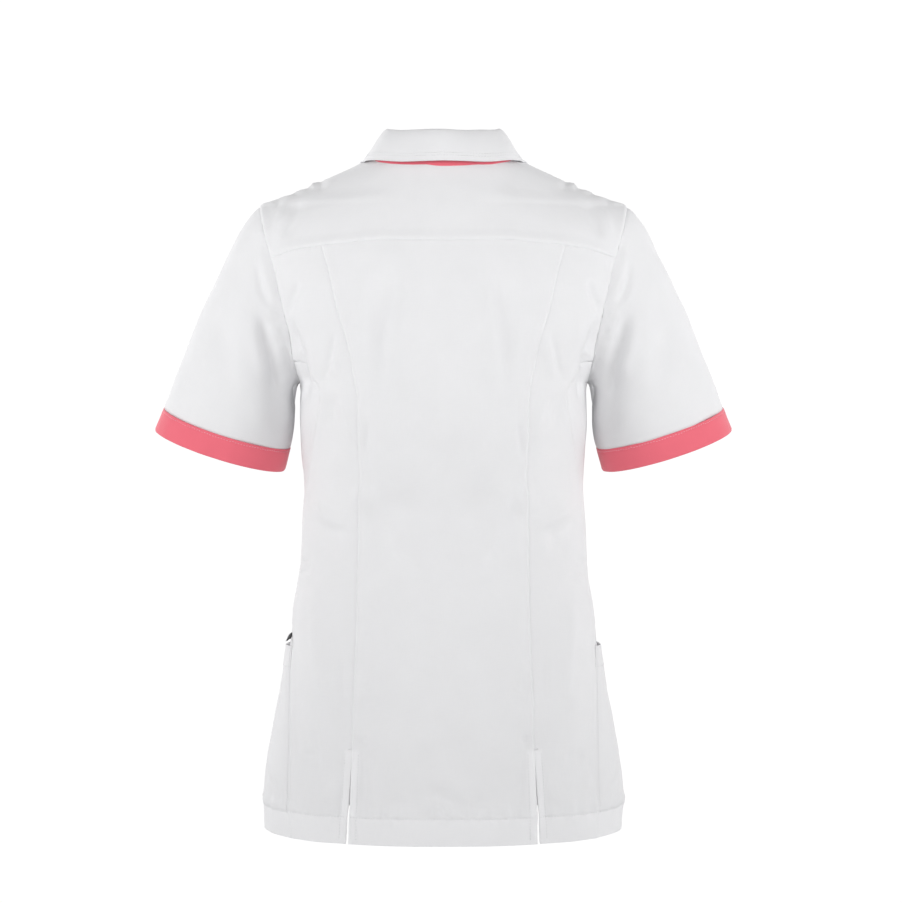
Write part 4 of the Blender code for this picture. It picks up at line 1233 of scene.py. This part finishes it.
def plain_material(name, colour, roughness, bump_scale=0.0, bump_height=0.0):
    """A material with a fine grain: thread, or moulded plastic."""
    material, tree, add = new_material(name)
    look = {"Base Color": (*colour, 1), "Roughness": roughness}
    if bump_scale:
        place = add("TexCoord", {})["Object"]
        grain = add("TexNoise", {"Vector": place, "Scale": bump_scale})["Fac"]
        bump = add("Bump", {"Strength": 0.5, "Distance": bump_height, "Height": grain})
        look["Normal"] = bump["Normal"]
    fill(tree, tree.nodes["Principled BSDF"], look)
    return material


WHITE = cloth_material("white_twill", (0.850, 0.850, 0.863), 0.18), "white_cloth"
RASPBERRY = cloth_material("raspberry_twill", (0.89, 0.170, 0.222), 0.30), "raspberry_cloth"
WHITE_THREAD, PINK_THREAD, BLACK_TAPE, PLASTIC = (
    (plain_material(name, *values), slot)
    for name, slot, *values in (
        ("white_thread", "white_cloth", (0.76, 0.76, 0.775), 0.6, 3000, 0.0001),
        ("pink_thread", "raspberry_cloth", (0.90, 0.45, 0.52), 0.6, 3000, 0.0001),
        ("black_tape", "tab_black", (0.02, 0.02, 0.022), 0.8, 2500, 0.0002),
        ("button_plastic_white", "button_plastic", (0.78, 0.78, 0.79), 0.28, 400, 0.00005),
    )
)

# ---------------------------------------------------------------- the body's panels


def flip(sign):
    """What turns points on the wearer's left into points on the side of this sign."""
    return np.array([sign, 1, 1])


MIRROR = np.array([-1.0, 1.0, 1.0])
SIDES = (("left", 1), ("right", -1))
HEM_ROW = 7  # the row after which a panel's hem is stitched

princess = on_body(princess_seam())
princess_far = on_body(princess_seam(SLIT_OPEN))
side_line = on_body(side_seam())
yoke_line_in = on_body(yoke_seam(0.0, YOKE_SPLIT, CENTRE_COLUMNS // 2))
yoke_line_out = on_body(yoke_seam(YOKE_SPLIT, CORNER_OUT, SIDE_COLUMNS, CORNER))
centre_yoke_line = np.concatenate([yoke_line_in[::-1], yoke_line_in[1:] * MIRROR])
half_armhole = on_body(armhole_station(armhole_loop()))
left_armhole = np.concatenate([half_armhole, half_armhole[:1]])

slit_rows = {"rows_after": (HEM_ROW,), "rows_before": (HEM_ROW,)}
panel(
    "back_centre",
    [edged(back_centre_grid(), **slit_rows)],
    [(princess, True), (princess * MIRROR, True), (centre_yoke_line, False)],
    slit=np.concatenate([princess, princess[::-1] * MIRROR]),
)
side_grid = edged(back_side_grid(), **slit_rows)
side_edges = (
    *((princess_far, False), (side_line, True)),
    *((yoke_line_out, False), (left_armhole, True)),
)
for side, sign in SIDES:
    grid = side_grid if sign > 0 else flipped(side_grid)
    seams = [(line * flip(sign), high) for line, high in side_edges]
    panel("back_side_" + side, [grid], seams, slit=seams[0][0])
half_yoke = yoke_grid()
whole_yoke = np.concatenate([flipped(half_yoke)[:-1], half_yoke])
whole_yoke = near_lines(whole_yoke, 1, (0,), (YOKE_ROWS * FINE,))
whole_yoke = near_lines(whole_yoke, 0, (0,), (len(whole_yoke) - 1,))
front_seam = on_body(half_yoke[-1])
yoke_edges = (yoke_line_out, left_armhole, front_seam)
both_sides = [(line * flip(sign), True) for line in yoke_edges for sign in (1, -1)]
panel("back_yoke", [whole_yoke], [(centre_yoke_line, True), *both_sides], hem=False)
lower, upper = front_grids()
chest_columns = upper.shape[0] - 1
columns, rows = lower.shape[0] - 1, lower.shape[1] - 1
lower = near_lines(lower, 0, (0, chest_columns), (chest_columns, columns))
lower = near_lines(lower, 1, (0, HEM_ROW), (HEM_ROW, rows))
upper = near_lines(upper, 0, (0,), (chest_columns,))
upper = near_lines(upper, 1, (), (upper.shape[1] - 1,))
front_edges = ((side_line, False), (left_armhole, True), (front_seam, False))
for side, sign in SIDES:
    grids = [grid if sign > 0 else flipped(grid) for grid in (lower, upper)]
    seams = [(line * flip(sign), high) for line, high in front_edges]
    panel("front_" + side, grids, seams, lift=front_lift(-sign))

# ---------------------------------------------------------------- sleeves and bands


def grid_normals(points, closed=False):
    """Outward directions at a grid's points, from its neighbours."""
    if closed:
        round_it = np.roll(points, -1, axis=0) - np.roll(points, 1, axis=0)
    else:
        round_it = np.gradient(points, axis=0)
    return unit(np.cross(round_it, np.gradient(points, axis=1)))


def facing_out(grid):
    """The directions at a closed grid's points that lead away from its own middle."""
    normals = grid_normals(grid, closed=True)
    off_middle = grid - grid.mean(axis=0, keepdims=True)
    return normals * np.sign((normals * off_middle).sum(-1).mean())


def grain_of(across, up):
    """Each point's place on the flat cloth, from its column's and its row's."""
    return np.stack(np.broadcast_arrays(across[:, None], up[None]), axis=-1)


def around_arm(node, grid, grain, sign, look, held, thick=CLOTH_THICK):
    """A sheet that closes round the arm, from the left arm's grid of points."""
    ring = np.concatenate([grid, grid[:1]]) * flip(sign)
    grain = np.concatenate([grain, grain[-1:] + [LAST_COLUMN, 0]])
    sheet = join_grids([(ring[::sign], grain[::sign])])
    sheet_piece("cloth_" + node, sheet, look, node, flat_size([ring]), held, thick)


def sleeve_lines():
    lines = []
    for half, rise, *points in SLEEVE_CREASES:
        around, along = through(np.reshape(points, (-1, 2))).T
        place = [sleeve_surface(np.radians(a)[None], t[None])[0, 0] for a, t in zip(around, along)]
        lines.append((half / 1000, rise / 1000, np.array(place)))
    return lines


def sleeve(side, sign):
    """The sleeve's cloth, which follows the body's relief at its head."""
    around = armhole_loop()
    along = stations(0, 1, SLEEVE_ROWS) ** SLEEVE_CROWD
    along = np.concatenate([[0, along[1] * 0.25, along[1] * 0.6], along[1:]])
    grid = sleeve_surface(around, along)
    points = grid.reshape(-1, 3)
    turn, height = armhole_station(around).T
    head_rise = body_relief(body_surface(turn, height) * flip(sign))
    rise = creased(points, sleeve_lines())
    for length, rough in UNEVEN:
        rise += rough * waves(points * flip(sign), length, 9)
    rise *= 1 - np.tile(1 - ease(along / SLEEVE_HEAD["plain"]), len(around))
    away, run = off_line(points, np.concatenate([grid[:, 0], grid[:1, 0]]))
    rise -= SEAM_VALLEY["depth"] * bell(away, SEAM_VALLEY["width"])
    pucker = SLEEVE_HEAD["pucker"] * PUCKER["rise"] * waves(run, PUCKER["length"], 13)
    rise += pucker * bell(away, SLEEVE_HEAD["reach"])
    away, _ = off_line(points, np.concatenate([grid[:, -1], grid[:1, -1]]))
    rise -= SEAM_VALLEY["depth"] * bell(away, SEAM_VALLEY["width"])
    moved = grid + facing_out(grid) * rise.reshape(grid.shape[:2])[..., None]
    near_head = 1 - ease(along / SLEEVE_HEAD["follows"])
    moved += (body_normal(turn, height) * head_rise[:, None])[:, None] * near_head[None, :, None]
    grain = grain_of(run_of(grid[:, -1]), along * SLEEVE_LONG)
    around_arm("sleeve_" + side, moved, grain, sign, WHITE, ("hung", ["cloth_back_yoke"]))


def cuff(side, sign):
    """The band: folded cloth with a stitched line below its top edge. Gives that line."""
    around = armhole_loop()
    top = CUFF_WIDTH - np.array([0.0001, 0.0006, 0.0013, 0.0020, CUFF_STITCH, 0.0028, 0.0036])
    middle = np.linspace(CUFF_WIDTH - 0.0060, 0.0030, 8)
    above = np.concatenate([top, middle, [0.0014, 0.0005, 0.0]])
    grid = np.stack([sleeve_ring(around, a) for a in above], axis=1)
    rise = 0.0004 - 0.0007 * bell(above - CUFF_WIDTH, 0.0007)
    rise = rise - 0.0004 * bell(above - CUFF_WIDTH + CUFF_STITCH, 0.0006)
    rise = rise - 0.0006 * bell(above, 0.0008)
    rough = 0.00025 * waves((grid * flip(sign)).reshape(-1, 3), 0.030, 3).reshape(grid.shape[:2])
    moved = grid + facing_out(grid) * (rise[None] + rough)[..., None]
    held = ("folded", ["cloth_sleeve_" + side])
    grain = grain_of(run_of(grid[:, 0]), above)
    around_arm("cuff_" + side, moved, grain, sign, RASPBERRY, held, CUFF_THICK)
    line = sleeve_ring(around, CUFF_WIDTH - CUFF_STITCH)
    return np.concatenate([line, line[:1]]) * flip(sign)


for side, sign in SIDES:
    sleeve(side, sign)
cuff_lines = {side: cuff(side, sign) for side, sign in SIDES}

# ---------------------------------------------------------------- the collar


def whole_collar(half):
    """Both halves of a collar grid, from the left front end round the back to the right."""
    return np.concatenate([half[::-1], half[1:] * MIRROR])


def collar_piece(node, grid, rise, look, held, thick):
    moved = grid + grid_normals(grid) * rise.reshape(grid.shape[:2])[..., None]
    grain = grain_of(run_of(grid[:, -1]), run_of(grid[len(grid) // 2]))
    sheet = join_grids([(moved, grain)])
    sheet_piece("cloth_" + node, sheet, look, node, flat_size([moved]), held, thick)


station = stations(0, 2, COLLAR_COLUMNS_HALF)
stand_half = stand_points(station)
foot = stand_half[:, :1] + (stand_half[:, :1] - stand_half[:, 1:2]) * 3.0
stand_grid = whole_collar(np.concatenate([foot, stand_half], axis=1))
uneven = 0.0002 * waves(stand_grid.reshape(-1, 3), 0.03, 21)
held = ("draped", ["cloth_back_yoke"])
collar_piece("collar_stand", stand_grid, uneven, RASPBERRY, held, CLOTH_THICK)
leaf_half = leaf_points(station)
low = LEAF_LOW * FINE
clearance = (CLOTH_THICK + LEAF_THICK) / 2 + LEAF_CLEAR
leaf_half[:, low:] = clear_of_body(leaf_half[:, low:], clearance)
leaf_grid = whole_collar(leaf_half)
leaf_grid = near_lines(leaf_grid, 0, (0,), (len(leaf_grid) - 1,))
leaf_grid = near_lines(leaf_grid, 1, (), (LEAF_ROWS * FINE,))
leaf_places = leaf_grid.reshape(-1, 3)
rim = np.concatenate([leaf_grid[0], leaf_grid[:, -1], leaf_grid[-1][::-1]])
leaf_away, _ = off_line(leaf_places, rim)
leaf_rise = 0.0003 * waves(leaf_places, 0.045, 22) - 0.0004 * bell(leaf_away, 0.0009)
for stitched in LEAF_STITCHES:
    leaf_rise -= 0.0003 * bell(leaf_away - stitched, 0.0008)
held = ("folded", ["cloth_collar_stand"])
collar_piece("collar_leaf", leaf_grid, leaf_rise, WHITE, held, LEAF_THICK)

# ---------------------------------------------------------------- pockets and tab


def near_share(grid, axis, distance):
    """A grid drawn in by this distance from both of its edges along an axis."""
    lines = np.moveaxis(grid, axis, 0)
    steps = np.linalg.norm(np.diff(lines, axis=0), axis=-1).mean(1)
    at = np.concatenate([[0], np.cumsum(steps)])
    wanted = distance + (at[-1] - 2 * distance) * at / at[-1]
    flat = lines.reshape(len(lines), -1)
    drawn = np.stack([np.interp(wanted, at, flat[:, k]) for k in range(flat.shape[1])], axis=-1)
    return np.moveaxis(drawn.reshape(lines.shape), 0, axis)


def pocket_stitching(base):
    """A pocket's stitched lines: along its sewn edges, and across below its mouth."""
    inner = near_share(base, 0, POCKET_STITCH)
    bottom = near_share(base, 1, POCKET_STITCH)[:, 0]
    edges = np.concatenate([inner[0][::-1], bottom, inner[-1]])
    return [edges, near_share(base, 1, POCKET_HEM)[:, -1]]


def pocket(side, grid, first, last, lift):
    """A patch pocket on the front's own points, with a folded and stitched mouth."""
    rows = slice(POCKET_ROWS[0] * FINE, POCKET_ROWS[1] * FINE + 1)
    block = edged(grid[first : last + 1, rows])
    turn, height = block[..., 0], block[..., 1]
    base = body_surface(turn, height)
    share = (turn - turn[0, 0]) / (turn[-1, 0] - turn[0, 0])
    across = np.sin(np.clip(share, 0, 1) * math.pi)
    up = np.clip((height - height.min()) / (height.max() - height.min()), 0, 1) ** POCKET_RISE
    points = base.reshape(-1, 3)
    rise = (LAYER + POCKET_POUCH * across * up + lift(base)).ravel()
    rise += body_relief(points) + hem_relief(points, turn.ravel())
    away, _ = off_line(points, np.concatenate([base[0][::-1], base[1:-1, 0], base[-1]]))
    rise -= (LAYER + POCKET_SUNK) * (1 - ease(away / POCKET_EASE))
    rise -= 0.0003 * bell(away - POCKET_STITCH, 0.0009)
    down = height.max() - points[:, 2] - POCKET_HEM
    rise += 0.0004 * (1 - ease(down / 0.002)) - 0.0004 * bell(down, 0.001)
    moved = points + body_normal(turn, height).reshape(-1, 3) * rise[:, None]
    grain = np.stack([turn * BODY_ROUND, base[..., 2]], axis=-1)
    sheet = join_grids([(moved.reshape(base.shape), grain)])
    held = ("laid", ["cloth_front_" + side])
    node = "pocket_" + side
    sheet_piece("cloth_" + node, sheet, WHITE, node, flat_size([base]), held)
    return pocket_stitching(base)


left_lower = front_grids()[0]
right_lower = flipped(left_lower)
first, last = (k * FINE for k in POCKET_COLUMNS)
final = len(right_lower) - 1
pocket_lines = {
    "left": pocket("left", left_lower, first, last, front_lift(-1)),
    "right": pocket("right", right_lower, final - last, final - first, front_lift(1)),
}


def tab():
    """A small folded tape that sticks out of the side seam, with its pale cut end."""
    height = TAB["height"]
    turn = turn_at(side_seam_out(height), height)
    normal = body_normal(turn, height)
    forward = unit(np.cross(normal, UPRIGHT))
    outward = unit(forward * (1 - TAB["lean"]) + normal * TAB["lean"] - UPRIGHT * TAB["droop"])
    aside = unit(np.cross(outward, UPRIGHT))
    upward = unit(np.cross(aside, outward) * (1 - TAB["turned"]) + aside * TAB["turned"])
    root = body_surface(turn, height) + normal * 0.0010
    long, thick = TAB["long"], TAB["thick"]
    pieces = []
    for name, look, replaces, start, end, wall in (
        ("tape_side_tab", BLACK_TAPE, "pocket_tab_left", 0.0, long, thick),
        ("tape_side_tab_end", WHITE_THREAD, None, long, long + 0.0012, thick * 0.8),
    ):
        out = np.linspace(start, end, 8)
        up = np.linspace(-0.5, 0.5, 13) * TAB["wide"]
        bow = 0.0006 * np.sin(np.linspace(0, math.pi, 8))[:, None, None]
        grid = root + out[:, None, None] * outward + up[None, :, None] * upward + bow * normal
        sheet = join_grids([(grid, grain_of(out, up))])
        pieces.append(sheet_piece(name, sheet, look, replaces, None, None, wall))
    tape, end = pieces


tab()

# ---------------------------------------------------------------- buttons


def turned(profile, name):
    """A mesh turned about Z from a profile of (radius, height)."""
    mesh = bmesh.new()
    line = [mesh.verts.new((r, 0, z)) for r, z in profile]
    for a, b in zip(line[:-1], line[1:]):
        mesh.edges.new((a, b))
    geometry = mesh.verts[:] + mesh.edges[:]
    whole = {"angle": 2 * math.pi, "steps": 48, "use_merge": True}
    bmesh.ops.spin(mesh, geom=geometry, cent=(0, 0, 0), axis=(0, 0, 1), **whole)
    bmesh.ops.remove_doubles(mesh, verts=mesh.verts[:], dist=1e-6)
    bmesh.ops.recalc_face_normals(mesh, faces=mesh.faces[:])
    return finished(mesh, name)


def finished(mesh, name):
    """The named mesh data of a bmesh, which is freed."""
    data = bpy.data.meshes.new(name)
    mesh.to_mesh(data)
    mesh.free()
    return data


def button(number, turn, height):
    """A button with a rolled rim, a dished face and four holes. Gives its crossed threads."""
    normal = Vector(body_normal(turn, height))
    spot = body_surface(turn, height)
    relief = float(body_relief(spot[None])[0])
    centre = Vector(spot) + normal * (LAYER / 2 + 0.0008 + 0.0008 + relief * 0.5)
    across = Vector((1, 0, 0))
    profile = [(BUTTON_RADIUS * r, BUTTON_THICK * z) for r, z in BUTTON_PROFILE]
    data = turned(profile, f"button_face_{number}")
    data.shade_smooth()
    body = link(f"button_body_{number}", data, PLASTIC, f"button_{number}")
    holes = bmesh.new()
    for sx in (-1, 1):
        for sy in (-1, 1):
            place = Vector((sx * HOLE_OFF, sy * HOLE_OFF, BUTTON_THICK * 0.5))
            size = {"radius1": HOLE_RADIUS, "radius2": HOLE_RADIUS, "depth": BUTTON_THICK * 2}
            made = bmesh.ops.create_cone(holes, cap_ends=True, segments=16, **size)
            bmesh.ops.translate(holes, verts=made["verts"], vec=place)
    cutter = added(f"holes_{number}", finished(holes, f"holes_{number}"))
    cut = body.modifiers.new("holes", "BOOLEAN")
    cut.operation = "DIFFERENCE"
    cut.object = cutter
    depsgraph = bpy.context.evaluated_depsgraph_get()
    solid = bpy.data.meshes.new_from_object(body.evaluated_get(depsgraph))
    body.modifiers.clear()
    body.data = solid
    bpy.data.objects.remove(cutter)
    axes = Matrix((across, normal.cross(across), normal)).transposed()
    place = Matrix.Translation(centre) @ axes.to_4x4()
    body.data.transform(place)
    body.data.set_sharp_from_angle(angle=math.radians(40))
    threads = []
    for sx in (-1, 1):
        end = Vector((-sx * HOLE_OFF, HOLE_OFF, BUTTON_THICK * 0.62))
        start = Vector((sx * HOLE_OFF, -HOLE_OFF, BUTTON_THICK * 0.62))
        threads.append((place @ start, place @ end))
    return threads, place.to_3x3() @ Vector((0, 0, 1))


# ---------------------------------------------------------------- stitches


def stitch_mesh(runs):
    """One mesh of stitches. Each run is (points, normals, long, every, thick)."""
    verts, faces = [], []
    share = np.array([0.0, 0.14, 0.5, 0.86, 1.0])
    lifts = np.array([-0.7, 0.35, 0.75, 0.35, -0.7])
    widths = np.array([0.35, 0.85, 1.0, 0.85, 0.35])
    ring = ((1, 0), (0, 1), (-1, 0), (0, -1))
    for points, normals, long, every, thick in runs:
        at = run_of(points)
        count = max(1, int((at[-1] - long) / every) + 1)
        starts = np.arange(count) * every + (at[-1] - (count - 1) * every - long) / 2

        def place(values, where):
            return np.stack([np.interp(where, at, values[:, k]) for k in range(3)], axis=-1)

        where = starts[:, None] + share[None] * long
        normal = unit(place(normals, where))
        along = unit(place(points, where + 1e-4) - place(points, where - 1e-4) + 1e-12)
        across = unit(np.cross(normal, along))
        middle = place(points, where) + normal * (lifts * thick)[None, :, None]
        for k in range(count):
            base = len(verts)
            for m in range(5):
                for a, b in ring:
                    wide, high = a * widths[m] * thick, b * widths[m] * thick * 0.7
                    verts.append(middle[k, m] + (across[k, m] * wide + normal[k, m] * high))
            for m in range(4):
                for q in range(4):
                    p, n = base + m * 4 + q, base + m * 4 + (q + 1) % 4
                    faces.append((p, n, n + 4, p + 4))
            faces.append((base + 3, base + 2, base + 1, base))
            faces.append((base + 16, base + 17, base + 18, base + 19))
    return verts, faces


def stitch_piece(name, runs, look):
    verts, faces = stitch_mesh(runs)
    mesh = bpy.data.meshes.new(name)
    mesh.from_pydata([tuple(v) for v in verts], [], faces)
    mesh.shade_smooth()
    link(name, mesh, look)


def sleeve_axis(p):
    """A point on the sleeve's axis level with p."""
    centre, _, down = (item * flip(np.sign(p[0])) for item in sleeve_end_frame())
    return centre + down * ((p - centre) @ down)


def laid_on(piece, points, lift):
    """Points moved to the outer face of a sheet, and the sheet's normals there."""
    placed, normals = [], []
    round_arm = "sleeve" in piece or "cuff" in piece
    for p in points:
        spot, normal, _, _ = trees[piece].find_nearest(Vector(p))
        spot, normal = np.array(spot), np.array(normal)
        axis = sleeve_axis(p) if round_arm else np.array([0, 0, p[2]])
        if (spot - axis) @ normal < 0:
            normal = -normal
        placed.append(spot + normal * lift)
        normals.append(normal)
    return np.array(placed), np.array(normals)


def beside(line, normals, distance):
    """A line this far to the left of another, seen from outside along it."""
    along = unit(np.gradient(line, axis=0))
    return line + unit(np.cross(normals, along)) * distance


def run_on(piece, line, lift=CLOTH_THICK / 2, long=STITCH["long"], every=STITCH["every"]):
    """A run of stitches laid on a piece along a line."""
    return (*laid_on(piece, closer(line, 0.0015), lift), long, every, STITCH["thick"])


def stations_between(line, top, bottom):
    """The part of a line of (turn, height) stations between two heights."""
    return line[(line[:, 1] <= top) & (line[:, 1] >= bottom)]


runs = []
near_slit, far_slit = (princess_seam(by)[HEM_ROW, 0] for by in (0.0, SLIT_OPEN))
at_side, at_front = side_seam()[HEM_ROW, 0], front_line()[HEM_ROW, 0]
for piece, start, end in (
    ("cloth_back_centre", near_slit, math.pi - near_slit),
    ("cloth_back_side_left", at_side, far_slit),
    ("cloth_back_side_right", math.pi - far_slit, math.pi - at_side),
    ("cloth_front_left", at_front, at_side),
    ("cloth_front_right", math.pi - at_side, math.pi - at_front),
):
    turns = np.linspace(min(start, end) + HEM_INSET, max(start, end) - HEM_INSET, 200)
    runs.append(run_on(piece, body_surface(turns, np.full(200, HEM + HEM_DEPTH))))
for side, sign in SIDES:
    for piece, seam, distance in (
        ("cloth_back_centre", princess_seam(), -SLIT_BAND),
        ("cloth_back_side_" + side, princess_seam(SLIT_OPEN), SLIT_BAND),
    ):
        part = stations_between(seam, SLIT_TOP - 0.001, HEM + 0.002)
        line, normals = on_body(part), body_normal(part[:, 0], part[:, 1])
        runs.append(run_on(piece, beside(line, normals, distance) * flip(sign)))
leaf_away = leaf_away.reshape(leaf_grid.shape[:2])
for distance in LEAF_STITCHES:
    line = []
    for column, far in zip(leaf_grid, leaf_away):
        beyond = np.nonzero(far >= distance)[0]
        if len(beyond) and beyond[-1] < len(column) - 1:
            k = beyond[-1]
            share = (far[k] - distance) / max(far[k] - far[k + 1], 1e-9)
            line.append(column[k] * (1 - share) + column[k + 1] * share)
    runs.append(run_on("cloth_collar_leaf", np.array(line), LEAF_THICK / 2))
for side, lines in pocket_lines.items():
    runs += [run_on("cloth_pocket_" + side, line) for line in lines]
for beyond in BAND_STITCHES:
    part = stations_between(front_line(beyond), NECK_FOOT - 0.004, HEM + 0.002)
    runs.append(run_on("cloth_front_right", on_body(part) * MIRROR))
buttons = [left_lower[FINE, row * FINE] for row in BUTTON_ROWS]
for _, height in buttons:
    for rise in (-0.0008, 0.0008):
        heights = np.full(30, height + rise)
        turns = turn_at(np.linspace(-0.0015, 0.0120, 30), heights, False)
        line = body_surface(turns, heights) * MIRROR
        runs.append(run_on("cloth_front_right", line, long=0.0011, every=0.0009))
stitch_piece("thread_body", runs, WHITE_THREAD)
cuff_runs = [run_on("cloth_cuff_" + side, line, 0.0008) for side, line in cuff_lines.items()]
stitch_piece("thread_cuffs", cuff_runs, PINK_THREAD)
tacks = []
tack_out = float(princess_out(SLIT_TOP))
tack_ends = (turn_at(tack_out + off, SLIT_TOP) for off in (0.0045, -0.0045))
tack_turns = np.linspace(*tack_ends, 20)
for sign in (1, -1):
    for rise in (-0.0003, 0.0003):
        line = body_surface(tack_turns, np.full(20, SLIT_TOP + rise)) * flip(sign)
        normals = body_normal(tack_turns, np.full(20, SLIT_TOP)) * flip(sign)
        tacks.append((line + normals * 0.0010, normals, 0.0088, 0.02, 0.00045))
for number, (turn, height) in enumerate(buttons, 1):
    threads, normal = button(number, turn, height)
    for a, b in threads:
        line = np.array([a + (b - a) * t for t in np.linspace(0, 1, 8)])
        tacks.append((line, np.tile(np.array(normal), (8, 1)), 0.0036, 0.02, 0.00035))
stitch_piece("thread_tacks", tacks, WHITE_THREAD)

# ---------------------------------------------------------------- camera, light and floor

DISTANCE = 2.7
ELEVATION = math.radians(1.0)
AIM = (-0.0079, -0.3005)  # what the camera looks at: its X and its height
FRAME = 903  # pixels across the picture
SCALE = 950  # pixels a metre at the body's middle plane
SENSOR = 36.0
FLOOR = -1.45
# The studio: a white backdrop beyond the back view, a paler room, and soft lamps.
LAMP_SPREAD = 110
LAMP_SIZE = 0.9
BACKDROP = (-0.95, 0.30, 1.03, 0.0)  # fades along Y between the first two, from and to the others
ROOM = (-0.1, 0.65, 1.01, 0.27)  # and the room's own light, up Z
LAMPS = (  # name, place, aim and power
    ("lamp_left", (1.75, 0.85, 0.15), (0, 0, -0.05), 5.2),
    ("lamp_right", (-1.75, 0.85, 0.15), (0, 0, -0.05), 5.2),
    ("lamp_front_left", (1.3, -1.7, 0.5), (0, 0, -0.2), 5.0),
    ("lamp_front_right", (-1.6, -1.4, 0.1), (0, 0, -0.2), 2.0),
    ("lamp_back", (0.0, 2.2, 0.30), (0, 0, 0.0), 3.3),
)

camera_data = bpy.data.cameras.new("camera")
camera = added("camera", camera_data)
bpy.context.scene.camera = camera
back, above = DISTANCE * math.cos(ELEVATION), DISTANCE * math.sin(ELEVATION)
camera.location = (AIM[0], back, AIM[1] + above)
camera.rotation_euler = (math.pi / 2 - ELEVATION, 0, math.pi)
camera_data.sensor_width = SENSOR
camera_data.lens = SCALE * DISTANCE * SENSOR / FRAME
camera_data.clip_end = 50

disc = bmesh.new()
bmesh.ops.create_circle(disc, cap_ends=True, segments=96, radius=3.0)
floor = added("floor", finished(disc, "floor"))
floor.location = (0, 0, FLOOR)
floor.data.materials.append(plain_material("pale_floor", (0.86, 0.86, 0.86), 0.9))

world = bpy.data.worlds.new("studio")
bpy.context.scene.world = world
world.use_nodes = True
add = adder(world.node_tree)
split = add("SeparateXYZ", {"Vector": add("TexCoord", {})["Generated"]})


def fading(socket, first, last, start, end):
    """A value that fades from start to end between two places along a direction."""
    span = {"From Min": first, "From Max": last, "To Min": start, "To Max": end}
    return add("MapRange", {**span, "Value": socket}, interpolation_type="SMOOTHSTEP")["Result"]


both = {0: fading(split["Y"], *BACKDROP), 1: fading(split["Z"], *ROOM)}
strength = add("Math", both, operation="MAXIMUM")["Value"]
sky = {"Color": (1, 1, 1, 1), "Strength": strength}
fill(world.node_tree, world.node_tree.nodes["Background"], sky)

for name, place, aim, power in LAMPS:
    light = bpy.data.lights.new(name, "AREA")
    light.shape = "SQUARE"
    light.size = LAMP_SIZE
    light.energy = power
    light.spread = math.radians(LAMP_SPREAD)
    lamp = added(name, light)
    lamp.location = place
    lamp.rotation_euler = (Vector(aim) - Vector(place)).to_track_quat("-Z", "Y").to_euler()
bpy.context.scene.view_settings.view_transform = "Standard"
